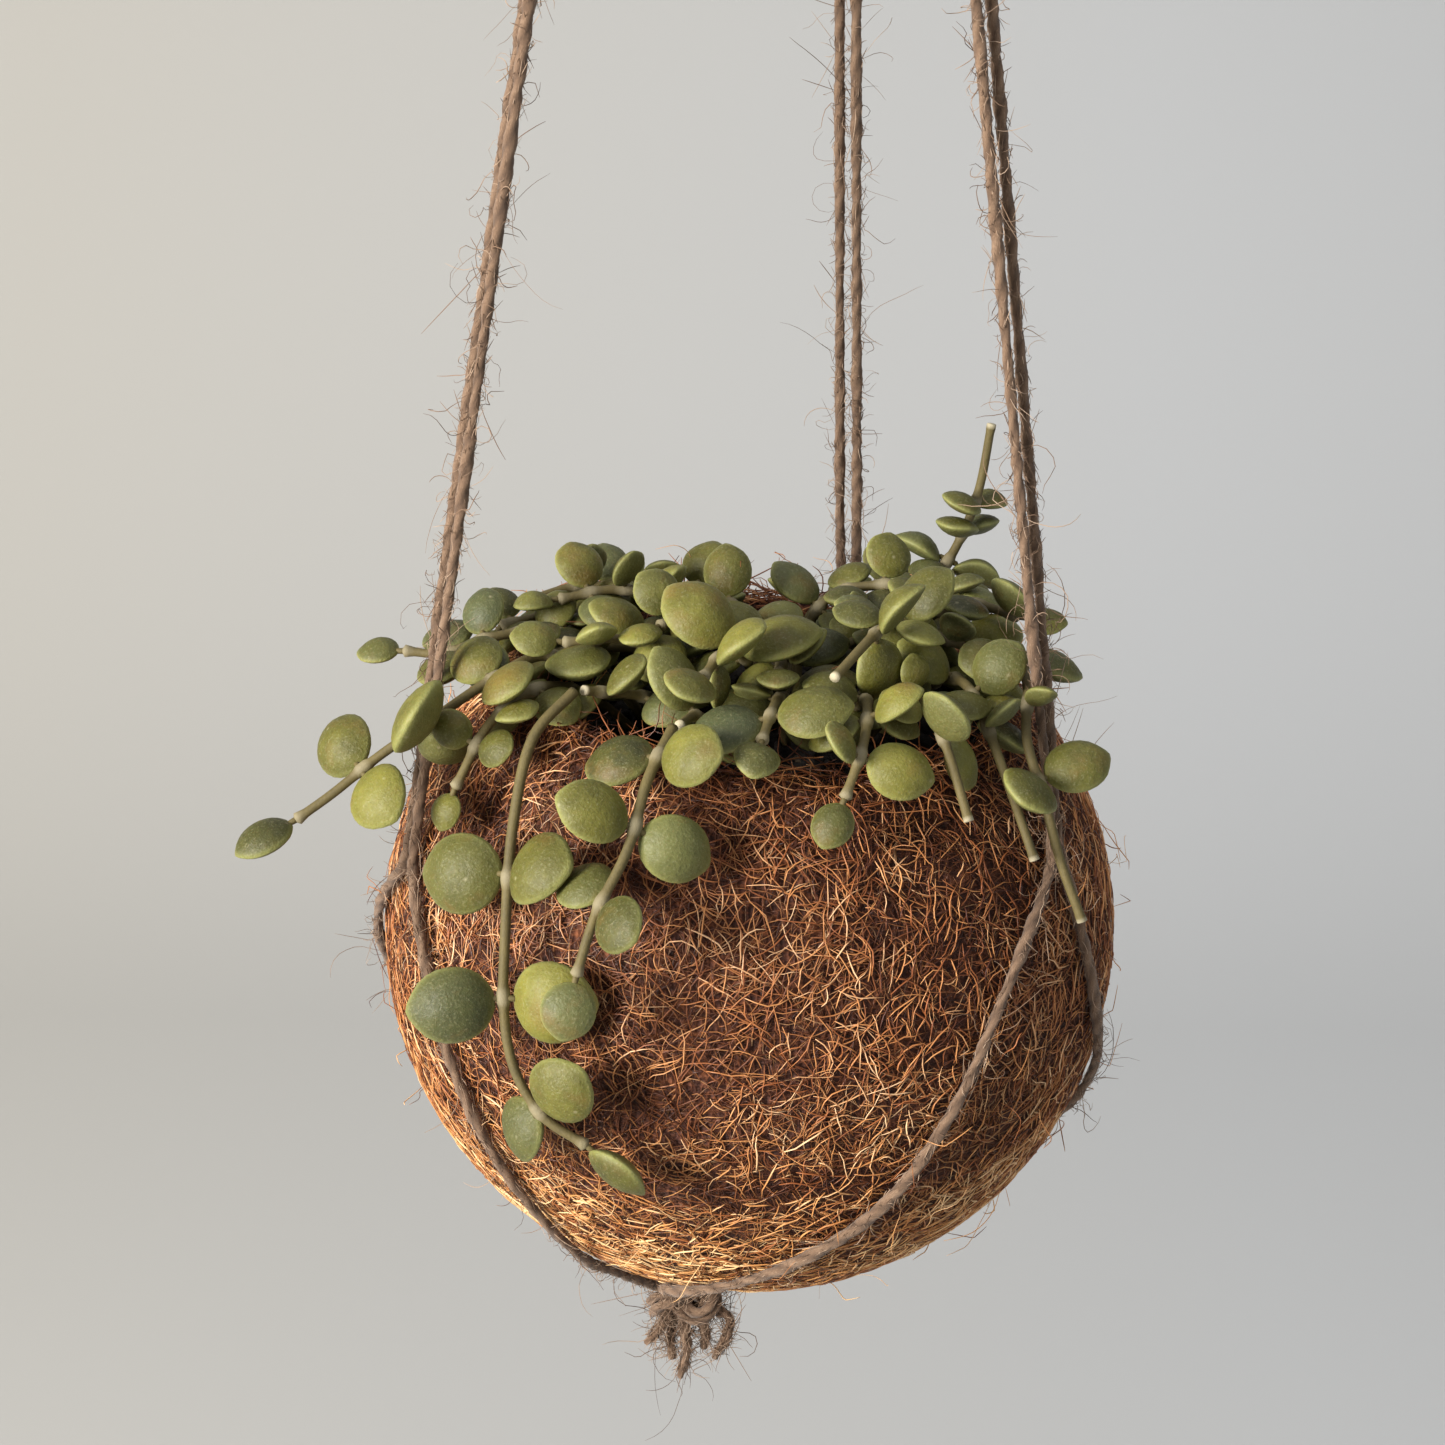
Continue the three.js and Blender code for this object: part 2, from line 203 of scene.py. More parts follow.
def twineFinish(look):
    finish, shader, where = newFinish("jute_twine", {"Roughness": 0.9, "Sheen Weight": 0.15})
    ply = where.attribute("ply")
    uv = where.make("ShaderNodeUVMap", {"uv_map": "strand"})
    streaks = uv.stretch(3, 12, 1).noise(5, 5, 0.7)
    patches = where.noise(120, 4, 0.65)
    # the ply crowns are painted lighter and the grooves between the plies painted darker, as painted shade,
    # mixed with the real streaks and patches of the jute
    body = (ply * 0.32 + streaks * 1.15 + patches * 0.35 - 0.52).clamp()
    colour = body.ramp((0.0, look["dark_streak_and_groove_shade"]), (0.5, look["crown"]), (1.0, look["pale"]))
    plug(shader, Base_Color=colour, Normal=streaks.bump(0.6, 0.0003))
    return finish


hairLook = {"dark": (0.085, 0.045, 0.024), "mid": (0.25, 0.155, 0.095), "pale": (0.52, 0.38, 0.27)}


def hairFinish(look):
    finish, shader, where = newFinish("loose_jute_hair", {"Roughness": 0.85})
    tone = where.attribute("tone")
    colour = tone.ramp((0.0, look["dark"]), (0.5, look["mid"]), (1.0, look["pale"]))
    shade = where.noise(300, 2) * 0.5
    plug(shader, Base_Color=shade.blend(colour, rgb((0.5, 0.42, 0.34)), "MULTIPLY"))
    return finish


coirLook = {
    "shadow": (0.014, 0.0045, 0.002),
    "red": (0.070, 0.018, 0.007),
    "brown": (0.33, 0.105, 0.032),
    "tan": (0.66, 0.30, 0.105),
    "straw": (0.92, 0.60, 0.34),
}


def creaseShadeBand(where):
    # 1 inside the shallow crease that runs round the ball, 0 away from it; used to paint shade into the
    # crease
    height = where.make("ShaderNodeSeparateXYZ", None, {0: where}, "Z")
    wavy = where.noise(28, 2) * 0.012
    above = height + wavy + 0.4625
    return (1 - above.maths("ABSOLUTE", above) * 260).clamp(), height


def coirFibreFinish(look):
    finish, shader, where = newFinish("coir_fibre", {"Roughness": 0.40, "Specular IOR Level": 0.48})
    tone = where.attribute("tone")
    depth = where.attribute("depth")
    creaseShade, height = creaseShadeBand(where)
    low = ((height * -1 - 0.445) * 22).clamp()   # the lower half is more golden
    patch = (where.noise(34, 4, 0.6) - 0.5) * 1.1
    # the fibres in the crease are painted darker, as shade in the dent
    mix = (tone * 0.95 + patch + low * 0.24 - creaseShade * 0.30 - 0.06).clamp()
    colour = mix.ramp((0.0, look["red"]), (0.34, look["brown"]), (0.70, look["tan"]),
                      (1.0, look["straw"]))
    golden = (low * 0.8).blend(colour, rgb((0.98, 1.0, 0.84)), "MULTIPLY")
    colour = (1 - depth).clamp().blend(golden, rgb(look["shadow"]))
    plug(shader, Base_Color=colour)
    return finish


def coirShellFinish(look):
    finish, shader, where = newFinish("coir_shell", {"Roughness": 0.8})
    matted = where.noise(300, 5, 0.75)
    lines = where.stretch(1, 1, 3).cells(520)
    across = where.stretch(3, 1, 1).cells(430)
    body = (matted * 0.9 + lines * 0.45 + across * 0.35 - 0.45).clamp()
    colour = body.ramp((0.0, look["shadow"]), (0.4, look["red"]), (1.0, look["brown"]))
    plug(shader, Base_Color=colour, Normal=(matted + lines + across).bump(0.9, 0.0008))
    return finish


def soilFinish():
    finish, shader, where = newFinish("potting_mix_grain", {"Roughness": 0.95})
    grain = where.noise(420, 6, 0.7)
    lumps = where.cells(170)
    colour = (grain * 0.8 + lumps * 0.3 - 0.2).clamp().ramp(
        (0.0, (0.004, 0.003, 0.0025)), (0.6, (0.020, 0.013, 0.009)), (1.0, (0.075, 0.048, 0.03)))
    plug(shader, Base_Color=colour, Normal=(grain + lumps).bump(1.0, 0.0012))
    return finish


def rootFinish():
    finish, shader, where = newFinish("root_mat", {"Roughness": 0.95})
    threads = where.stretch(1, 1, 0.3).noise(520, 5, 0.75)
    colour = threads.ramp((0.3, (0.035, 0.022, 0.014)), (0.7, (0.21, 0.15, 0.09)))
    plug(shader, Base_Color=colour, Normal=threads.bump(0.9, 0.0008))
    return finish


leafLook = {
    "deep": (0.032, 0.032, 0.004),
    "olive": (0.095, 0.088, 0.010),
    "bright": (0.205, 0.190, 0.027),
    "grey": (0.088, 0.105, 0.046),
    "under": (0.175, 0.175, 0.062),
    "rim": (0.32, 0.32, 0.10),
    "bronze": (0.17, 0.095, 0.018),
}


def leafFinish(look):
    finish, shader, where = newFinish("leaf_skin", {
        "Specular IOR Level": 0.42, "Subsurface Weight": 0.05, "Subsurface Scale": 0.001})
    tint = where.attribute("tint")
    edge = where.attribute("edge")
    below = where.attribute("below")
    grey = where.attribute("grey")
    warm = where.attribute("warm")
    speckle = where.noise(2200, 3, 0.7)
    clouds = where.noise(190, 4, 0.65)
    shade = (tint * 0.85 + clouds * 0.9 - 0.42).clamp()
    colour = shade.ramp((0.0, look["deep"]), (0.5, look["olive"]), (1.0, look["bright"]))
    colour = (grey * 0.85).blend(colour, rgb(look["grey"]))
    colour = (below * 0.4).blend(colour, rgb(look["under"]))
    stain = ((where.noise(130, 4, 0.6) - 0.56) * 5 + warm * 0.7).clamp()
    colour = (stain * 0.55).blend(colour, rgb(look["bronze"]))
    colour = (edge ** 18 * 0.75).clamp().blend(colour, rgb(look["rim"]))
    colour = ((speckle - 0.54) * 2.2).clamp().blend(colour, rgb((0.30, 0.285, 0.15)))
    colour = ((0.42 - speckle) * 2.6).clamp().blend(colour, rgb(look["deep"]))
    scars = ((0.10 - where.cells(210)) * 9).clamp()
    colour = (scars * 0.5).blend(colour, rgb((0.45, 0.40, 0.24)))
    dust = where.noise(1000, 3, 0.6)
    plug(shader, Base_Color=colour, Roughness=(dust * 0.45 + 0.34),
         Normal=(speckle * 0.7 + dust + clouds * 1.5).bump(0.45, 0.0004))
    return finish


stemLook = {"dark": (0.036, 0.028, 0.009), "olive": (0.135, 0.102, 0.030), "cork": (0.30, 0.23, 0.12)}


def stemFinish(look):
    finish, shader, where = newFinish("stem_bark", {"Roughness": 0.7})
    knots = where.attribute("knots")
    speckle = where.noise(1300, 4, 0.7)
    patches = where.noise(140, 3)
    colour = (patches * 0.7 + speckle * 0.5 - 0.15).clamp().ramp(
        (0.0, look["dark"]), (0.6, look["olive"]), (1.0, look["cork"]))
    colour = (knots * 0.9).clamp().blend(colour, rgb((0.48, 0.42, 0.28)))
    plug(shader, Base_Color=colour, Normal=speckle.bump(0.5, 0.0003))
    return finish


# ---- mesh helpers ----
def meshObject(name, verts, quads, tris=(), finish=None):
    data = bpy.data.meshes.new(name)
    verts = np.asarray(verts, np.float32).reshape(-1, 3)
    quads = np.asarray(quads, np.int32).reshape(-1, 4)
    tris = np.asarray(tris, np.int32).reshape(-1, 3)
    loops = np.concatenate([quads.ravel(), tris.ravel()])
    sizes = np.concatenate([np.full(len(quads), 4), np.full(len(tris), 3)]).astype(np.int32)
    starts = np.concatenate([[0], np.cumsum(sizes)[:-1]]).astype(np.int32)
    data.vertices.add(len(verts))
    data.vertices.foreach_set("co", verts.ravel())
    data.loops.add(len(loops))
    data.loops.foreach_set("vertex_index", loops)
    data.polygons.add(len(sizes))
    data.polygons.foreach_set("loop_start", starts)
    data.polygons.foreach_set("loop_total", sizes)
    data.polygons.foreach_set("use_smooth", np.ones(len(sizes), bool))
    data.update(calc_edges=True)
    data.validate()
    if finish:
        data.materials.append(finish)
    thing = bpy.data.objects.new(name, data)
    bpy.context.scene.collection.objects.link(thing)
    return thing


def pointAttribute(thing, name, values):
    layer = thing.data.attributes.new(name, "FLOAT", "POINT")
    layer.data.foreach_set("value", np.asarray(values, np.float32))


def unit(vectors):
    vectors = np.asarray(vectors, float)
    return vectors / np.maximum(np.linalg.norm(vectors, axis=-1, keepdims=True), 1e-12)


def smoothLine(points, perSpan):
    # a centripetal spline through the points
    pts = np.asarray(points, float)
    pts = np.vstack([2 * pts[0] - pts[1], pts, 2 * pts[-1] - pts[-2]])
    found = []
    for i in range(1, len(pts) - 2):
        p = pts[i - 1:i + 3]
        t = np.concatenate([[0], np.cumsum(np.linalg.norm(np.diff(p, axis=0), axis=1) ** 0.5)])
        for u in np.linspace(t[1], t[2], perSpan, endpoint=False):
            a = [(t[k + 1] - u) / (t[k + 1] - t[k]) * p[k] + (u - t[k]) / (t[k + 1] - t[k]) * p[k + 1]
                 for k in range(3)]
            b = [(t[k + 2] - u) / (t[k + 2] - t[k]) * a[k] + (u - t[k]) / (t[k + 2] - t[k]) * a[k + 1]
                 for k in range(2)]
            found.append((t[2] - u) / (t[2] - t[1]) * b[0] + (u - t[1]) / (t[2] - t[1]) * b[1])
    found.append(pts[-2])
    return np.array(found)


def evenSteps(line, step):
    # the same line with its points a fixed way apart
    gone = np.concatenate([[0], np.cumsum(np.linalg.norm(np.diff(line, axis=0), axis=1))])
    count = max(2, int(round(gone[-1] / step)) + 1)
    at = np.linspace(0, gone[-1], count)
    return np.stack([np.interp(at, gone, line[:, k]) for k in range(3)], axis=1), at


def carriedFrames(line):
    # tangents with a side vector carried along them without twist
    tangents = unit(np.gradient(line, axis=0))
    first = np.array([0, 0, 1.0]) if abs(tangents[0][2]) < 0.9 else np.array([1.0, 0, 0])
    side = unit(np.cross(tangents[0], first))
    sides = []
    for tangent in tangents:
        side = unit(side - tangent * side.dot(tangent))
        sides.append(side)
    sides = np.array(sides)
    return tangents, sides, np.cross(tangents, sides)


def lineLength(line):
    return float(np.linalg.norm(np.diff(line, axis=0), axis=1).sum())


def polar(radius, azimuth, latitude):
    a, b = math.radians(azimuth), math.radians(latitude)
    return radius * np.array([math.cos(b) * math.cos(a), math.cos(b) * math.sin(a), math.sin(b)])


def tube(name, line, sides, ups, ring, tips, finish):
    # rings of points round a line, closed by one point at each end
    rows, count = ring.shape
    around = np.arange(count) * 2 * math.pi / count
    verts = (line[:, None, :]
             + ring[..., None] * (np.cos(around)[None, :, None] * sides[:, None, :]
                                  + np.sin(around)[None, :, None] * ups[:, None, :]))
    index = np.arange(rows * count).reshape(rows, count)
    turn = np.roll(index, -1, axis=1)
    quads = np.stack([index[:-1], turn[:-1], turn[1:], index[1:]], axis=-1).reshape(-1, 4)
    first, last = rows * count, rows * count + 1
    tris = [(first, turn[0][k], index[0][k]) for k in range(count)]
    tris += [(last, index[-1][k], turn[-1][k]) for k in range(count)]
    return meshObject(name, np.vstack([verts.reshape(-1, 3), tips]), quads, tris, finish)


def joined(name, things):
    activate(things[0])
    for thing in things:
        thing.select_set(True)
    if len(things) > 1:
        bpy.ops.object.join()
    whole = bpy.context.object
    whole.name = name
    whole.data.name = name
    return whole


# ---- twine ----
twine = {
    "diameter": 0.0021,
    "turn": 0.0115,     # the way along for one full turn of the two plies
    "step": 0.0006,
    "sides": 12,
    "fuzzPerMetre": 3000,
    "hairsPerMetre": 760,
    "hairRadius": 0.00007,
    "hairClear": 0.0006,    # hairs stay this far off the ball
    "backLimit": 0.0790,    # and reach no further back than this
}
knots = {
    "topReach": 0.0075,     # strands leave the top knot this far from its middle
    "bottomReach": 0.0062,
    "bundle": 0.0048,       # across the twines that a knot gathers
}
topKnotCentre = ballCentre + np.array([0, 0, 0.410])
bottomKnotCentre = ballCentre + np.array([-0.012, -0.006, -0.081])
wrapRadius = 0.0714

strands = {
    "strand_left_front": {
        "exit": (225, -35),
        "wrap": [(203.6, 20), (209, 15), (215, 8), (222, -5), (228, -19), (233, -33),
                 (234, -44), (230, -53)],
        "enter": (228, 32),
    },
    "strand_left_back": {
        "exit": (135, -35),
        "wrap": [(200.4, 18), (191, 8), (178, -8), (166, -26), (158, -42), (158, -54)],
        "enter": (150, 32),
    },
    "strand_right_front": {
        "exit": (290, -20),
        "wrap": [(325.6, 26), (315, 18), (307, 9), (299, -5), (290, -20), (278, -32),
                 (264, -43), (248, -55)],
        "enter": (270, 32),
    },
    "strand_right_back": {
        "exit": (335, -12),
        "wrap": [(328.4, 26), (328, 19), (329, 11), (333, -2), (342, -16), (354, -34),
                 (368, -54), (380, -70)],
        "enter": (10, 32),
    },
    "strand_back_left": {
        "exit": (42, -6),
        "wrap": [(73.6, 16), (79, 5), (88, -12), (98, -30), (108, -49), (112, -64)],
        "enter": (92, 32),
    },
    "strand_back_right": {
        "exit": (8, -4),
        "wrap": [(70.4, 16), (65, 5), (57, -12), (48, -32), (42, -53), (38, -70)],
        "enter": (45, 32),
    },
}


def strandLine(route):
    start = topKnotCentre + polar(knots["topReach"], *route["exit"])
    bends = smoothLine([(a, b, 0) for a, b in route["wrap"]], 6)
    over = np.array([ballCentre + polar(wrapRadius, a, b) for a, b, _ in bends])
    end = bottomKnotCentre + polar(knots["bottomReach"], *route["enter"])
    straight = [start + (over[0] - start) * k / 8 for k in range(8)]
    return smoothLine([*straight, *over, end], 6)


def twistedTwine(name, line, look, finish, taper=0.0, seed=1):
    # two plies laid round each other, so the section is two lobes that turn
    line, along = evenSteps(line, look["step"])
    tangents, sides, ups = carriedFrames(line)
    radius = look["diameter"] / 2
    count = look["sides"]
    around = np.arange(count) * 2 * math.pi / count
    chance = np.random.default_rng(seed)
    wobble = np.convolve(chance.normal(0, 1, len(line) + 40), np.ones(41) / 41, "valid")
    turning = 2 * math.pi * along / look["turn"] + 2.2 * wobble
    thick = 1 + 0.5 * np.convolve(chance.normal(0, 1, len(line) + 14), np.ones(15) / 15, "valid")
    thick = np.clip(thick, 0.84, 1.16)
    if taper:
        thick = thick * (1 - taper * (along / along[-1]) ** 3)
    lobes = np.abs(np.cos(around[None, :] - turning[:, None]))
    frayed = chance.normal(0, 0.035, lobes.shape)
    ring = radius * thick[:, None] * (0.80 + 0.20 * lobes + frayed)
    tips = [line[0] - tangents[0] * radius * 0.3, line[-1] + tangents[-1] * radius * 0.3]
    thing = tube(name, line, sides, ups, ring, tips, finish)
    # the lobes also serve the twine finish, which paints the grooves between the plies darker as shade
    pointAttribute(thing, "ply", np.concatenate([lobes.ravel(), [0.4, 0.4]]))
    wayRound = np.tile(around / (2 * math.pi), len(line))
    places = np.stack([np.repeat(along / 0.01, count), wayRound], axis=1)
    places = np.vstack([places, [[0, 0], [along[-1] / 0.01, 0]]])
    uv = thing.data.uv_layers.new(name="strand")
    corner = np.empty(len(thing.data.loops), np.int32)
    thing.data.loops.foreach_get("vertex_index", corner)
    uv.data.foreach_set("uv", places[corner].astype(np.float32).ravel())
    return thing, line


def threads(name, paths, radii, tones, finish, depth=None):
    # many thin three-sided fibres in one mesh: paths is fibres x points x 3
    count, points, _ = paths.shape
    tangents = unit(np.gradient(paths, axis=1))
    away = unit(paths - ballCentre + 1e-6)
    side = unit(np.cross(tangents, away) + 1e-9)
    up = np.cross(side, tangents)
    taper = np.sin(np.linspace(0.25, math.pi - 0.12, points)) ** 0.45
    size = (radii[:, None] * taper[None, :])[..., None]
    rings = np.stack([paths + size * (math.cos(a) * side + math.sin(a) * up)
                      for a in (math.pi / 2, math.pi * 7 / 6, math.pi * 11 / 6)], axis=2)
    index = np.arange(count * points * 3).reshape(count, points, 3)
    turn = np.roll(index, -1, axis=2)
    quads = np.stack([index[:, :-1], index[:, 1:], turn[:, 1:], turn[:, :-1]], axis=-1).reshape(-1, 4)
    ends = np.concatenate([index[:, 0, :], index[:, -1, ::-1]])
    thing = meshObject(name, rings.reshape(-1, 3), quads[:, ::-1], ends[:, ::-1], finish)
    pointAttribute(thing, "tone", np.repeat(tones, points * 3))
    if depth is not None:
        pointAttribute(thing, "depth", np.repeat(depth, points * 3))
    return thing


def wanderingHairs(chance, starts, headings, lengths, points, curl):
    # curly free hairs: each heading keeps turning about its own slowly changing axis
    count = len(starts)
    steps = lengths / (points - 1)
    paths = [starts]
    axis = unit(chance.normal(0, 1, (count, 3)))
    heading = unit(headings)
    for _ in range(points - 1):
        axis = unit(axis + chance.normal(0, 0.55, (count, 3)))
        heading = unit(heading + np.cross(axis, heading) * curl[:, None])
        paths.append(paths[-1] + heading * steps[:, None])
    return np.stack(paths, axis=1)


def strandHairs(name, line, look, finish, seed, density=1.0):
    # a coat of short fuzz, with fewer long hairs that curl away
    chance = np.random.default_rng(seed)
    tangents, sides, ups = carriedFrames(line)
    things = []
    for kind, perMetre, points in (("fuzz", look["fuzzPerMetre"], 4), ("long", look["hairsPerMetre"], 9)):
        count = max(8, int(lineLength(line) * perMetre * density))
        at = chance.integers(1, len(line) - 2, count)
        angle = chance.uniform(0, 2 * math.pi, count)
        out = np.cos(angle)[:, None] * sides[at] + np.sin(angle)[:, None] * ups[at]
        starts = line[at] + out * look["diameter"] * 0.40
        along = tangents[at] * chance.choice([-1.0, 1.0], count)[:, None]
        if kind == "fuzz":
            headings = along * chance.uniform(0.5, 2.2, count)[:, None] + out * 0.5
            lengths = 0.0010 + chance.gamma(1.8, 0.0007, count)
            curl = chance.normal(0, 0.45, count)
        else:
            headings = along * chance.uniform(0.2, 1.5, count)[:, None] + out * 0.7
            lengths = 0.0035 + chance.gamma(1.4, 0.0028, count)
            lengths[chance.random(count) < 0.05] *= 2.4
            lengths = np.minimum(lengths, 0.017)
            curl = chance.normal(0, 0.72, count)
        paths = wanderingHairs(chance, starts, headings, lengths, points, curl)
        fromBall = paths - ballCentre
        reach = np.linalg.norm(fromBall, axis=2, keepdims=True)
        paths = ballCentre + fromBall / reach * np.maximum(reach, ballRadius + look["hairClear"])
        paths[:, :, 1] = np.minimum(paths[:, :, 1], look["backLimit"])
        things.append(threads(f"{name}_{kind}", paths, chance.uniform(0.6, 1.3, count) * look["hairRadius"],
                              chance.random(count), finish))
    return joined(name, things)


def trefoil(centre, reach, tall, turn=0.0, count=60):
    # the line of a plain overhand knot, pulled down small
    t = np.linspace(0, 2 * math.pi, count, endpoint=False)
    x = np.sin(t) + 2 * np.sin(2 * t)
    y = np.cos(t) - 2 * np.cos(2 * t)
    z = -np.sin(3 * t)
    a = math.radians(turn)
    flat = np.stack([x * math.cos(a) - y * math.sin(a), x * math.sin(a) + y * math.cos(a)], axis=1)
    return centre + np.stack([flat[:, 0] * reach / 3, flat[:, 1] * reach / 3, z * tall], axis=1)


def twinesTogether(name, points, perSpan, spread, lay, finish, seed):
    # three twines laid round one line, a full turn in each lay
    line, along = evenSteps(smoothLine(points, perSpan), twine["step"])
    _, sides, ups = carriedFrames(line)
    things = []
    for k in range(3):
        swing = 2 * math.pi * (k / 3 + along / lay)
        shifted = line + spread * (np.cos(swing)[:, None] * sides + np.sin(swing)[:, None] * ups)
        part, _ = twistedTwine(f"{name}_{k}", shifted, twine, finish, seed=seed + k)
        things.append(part)
    return joined(name, things), line


def tiedKnot(name, centre, reach, tall, finish, turn=0.0):
    # the gathered twines follow the knot side by side
    base = trefoil(centre, reach, tall, turn)
    return twinesTogether(name, np.vstack([base, base[:2]]), 5, 0.0012, 0.045, finish, 40)


eyeShape = {
    "half": 0.011,   # half its width at its widest
    "top": 0.0023,   # middle of the twines above the bearing
    "sides": [(0.62, -0.022), (1.0, -0.011), (0.72, -0.0012)],   # shares of half, and heights
}


def eyeOfTwines(look, finish):
    foot = polar(knots["topReach"], 0, 62)
    footHeight = topKnotCentre[2] + foot[2]
    side = [(look["half"] * share, z) for share, z in look["sides"]]
    points = [(foot[0], 0, footHeight), *[(x, 0, z) for x, z in side], (0, 0, look["top"]),
              *[(-x, 0, z) for x, z in reversed(side)], (-foot[0], 0, footHeight)]
    return twinesTogether("eye_twines", points, 14, 0.00115, 0.030, finish, 60)


tassels = {
    "tassel_long": [(0.5, -2, -7.6), (0.8, -2.6, -13), (-0.6, -3, -18.5)],
    "tassel_middle": [(-2.2, 0.6, -7.6), (-2.6, 0.4, -12), (-2.2, 0, -16)],
    "tassel_left": [(-4.6, -2, -7), (-6, -3, -8.6), (-7.6, -3.4, -10)],
    "tassel_right": [(9.4, -2.4, -4.4), (9, -3.2, -7.6), (6.4, -4, -13)],
    "tassel_right_back": [(4, -0.6, -7.2), (4.6, -0.8, -9.6), (4.2, -1, -12.6)],
    "tassel_back": [(0, 5, -7), (0.5, 6.4, -10), (-0.6, 6.6, -15)],
}

# ---- the ball pot ----
pot = {
    "wall": 0.0045,
    "rimHeight": 0.051,
    "tilt": 3.3,
    "fibres": 42000,
    "pieces": 7,
    "fibreLength": (0.0032, 0.0092),
    "fibreRadius": (0.00007, 0.00017),
    "ridges": 0.0010,
    "tornEnds": 1500,
    "strays": 260,
    "crease": (-0.0065, 0.0030, 0.0007),   # its height, half width and depth
}


def tiltMatrix():
    return Matrix.Rotation(math.radians(pot["tilt"]), 4, "Y")


def onPot(paths):
    # fibres made round an upright ball at the origin, brought to the leaning pot
    return paths @ np.array(tiltMatrix().to_3x3()).T + ballCentre


def potShell(look, finish):
    # a ball opened at the rim, given its wall, then matted and dented
    deselectAll()
    bpy.ops.mesh.primitive_uv_sphere_add(segments=96, ring_count=64, radius=ballRadius - 0.0011)
    shell = bpy.context.object
    bpy.ops.object.mode_set(mode="EDIT")
    bpy.ops.mesh.select_all(action="SELECT")
    bpy.ops.mesh.bisect(plane_co=(0, 0, look["rimHeight"]), plane_no=(0, 0, 1),
                        clear_outer=True, use_fill=False)
    bpy.ops.object.mode_set(mode="OBJECT")
    wall = shell.modifiers.new("wall", "SOLIDIFY")
    wall.thickness = look["wall"]
    wall.offset = -1
    wall.use_even_offset = True
    lip = shell.modifiers.new("lip", "BEVEL")
    lip.width = 0.0016
    lip.segments = 3
    lip.angle_limit = math.radians(50)
    finer = shell.modifiers.new("finer", "SUBSURF")
    finer.levels = finer.render_levels = 1
    lumps = bpy.data.textures.new("matted", "CLOUDS")
    lumps.noise_scale = 0.009
    lumps.noise_depth = 4
    dents = shell.modifiers.new("dents", "DISPLACE")
    dents.texture = lumps
    dents.strength = look["ridges"]
    dents.mid_level = 0.62
    for name in ("wall", "lip", "finer", "dents"):
        bpy.ops.object.modifier_apply(modifier=name)
    shell.data.transform(Matrix.Translation(Vector(ballCentre)) @ tiltMatrix())
    for face in shell.data.polygons:
        face.use_smooth = True
    shell.data.materials.append(finish)
    shell.name = "coir_shell"
    return shell


def creaseDepth(look, z, a):
    # how far the mat sinks at this height and bearing
    height, half, depth = look["crease"]
    off = z - height - 0.0012 * np.sin(3 * a + 1) - 0.0008 * np.sin(7 * a)
    return depth * np.exp(-(off / half) ** 2)


def fibresOnBall(look, finish):
    chance = np.random.default_rng(7)
    top = look["rimHeight"] / ballRadius
    things = []
    each = look["fibres"] // look["pieces"]
    points = 5
    for piece in range(look["pieces"]):
        z = chance.uniform(-1, top + 0.012, each)
        a = chance.uniform(0, 2 * math.pi, each)
        flat = np.sqrt(np.maximum(0, 1 - z * z))
        normal = np.stack([flat * np.cos(a), flat * np.sin(a), z], axis=1)
        heading = unit(np.cross(normal, unit(chance.normal(0, 1, (each, 3)))))
        layer = chance.random(each)   # 0 lies deep, 1 lies on top
        length = chance.uniform(*look["fibreLength"], each)
        turn = chance.normal(0, 0.16, each)
        bend = chance.normal(0, 0.25, (each, points))
        step = length / (points - 1) / ballRadius
        arch = chance.gamma(0.8, 0.00009, each) * layer ** 2
        sunk = creaseDepth(look, z * ballRadius, a)
        paths = []
        for k in range(points):
            lift = arch * math.sin(math.pi * k / (points - 1)) + 0.0007 * layer - 0.0007 - sunk
            paths.append(normal * (ballRadius + lift)[:, None])
            swing = turn + bend[:, k]
            side = np.cross(normal, heading)
            heading = unit(heading * np.cos(swing)[:, None] + side * np.sin(swing)[:, None])
            normal = unit(normal + heading * step[:, None])
            heading = unit(heading - normal * (heading * normal).sum(1, keepdims=True))
            normal[:, 2] = np.minimum(normal[:, 2], top + 0.02)
            normal = unit(normal)
        paths = onPot(np.stack(paths, axis=1))
        radii = chance.uniform(*look["fibreRadius"], each) * (0.75 + 0.4 * layer)
        # deeper fibres are painted darker, towards the shadow colour, as shade under the fibres above them
        tones = np.clip(chance.normal(0.34, 0.30, each) + 0.22 * layer, 0, 1)
        depth = np.clip(0.25 + 0.95 * layer, 0, 1)
        things.append(threads(f"coir_fibres_{piece + 1}", paths, radii, tones, finish, depth))
    return things


def tornRim(look, finish):
    # broken ends that stand up and spill over the lip
    chance = np.random.default_rng(11)
    count = look["tornEnds"]
    a = chance.uniform(0, 2 * math.pi, count)
    outer = math.sqrt(ballRadius ** 2 - look["rimHeight"] ** 2)
    radius = outer - chance.uniform(0, 0.005, count)
    starts = np.stack([radius * np.cos(a), radius * np.sin(a),
                       look["rimHeight"] + chance.uniform(-0.004, 0.001, count)], axis=1)
    level = np.stack([-np.sin(a), np.cos(a), 0 * a], axis=1) * chance.choice([-1, 1], count)[:, None]
    out = np.stack([np.cos(a), np.sin(a), 0 * a], axis=1)
    headings = (level * chance.uniform(0.5, 1.5, count)[:, None]
                + out * chance.normal(0.1, 0.35, count)[:, None]
                + np.array([0, 0, 1.0]) * chance.uniform(0.0, 0.5, count)[:, None])
    lengths = chance.uniform(0.004, 0.014, count)
    paths = wanderingHairs(chance, starts, headings, lengths, 7, chance.normal(0, 0.3, count))
    return threads("coir_rim", onPot(paths), chance.uniform(0.00009, 0.00019, count),
                   np.clip(chance.normal(0.4, 0.2, count), 0, 1), finish, np.full(count, 0.9))


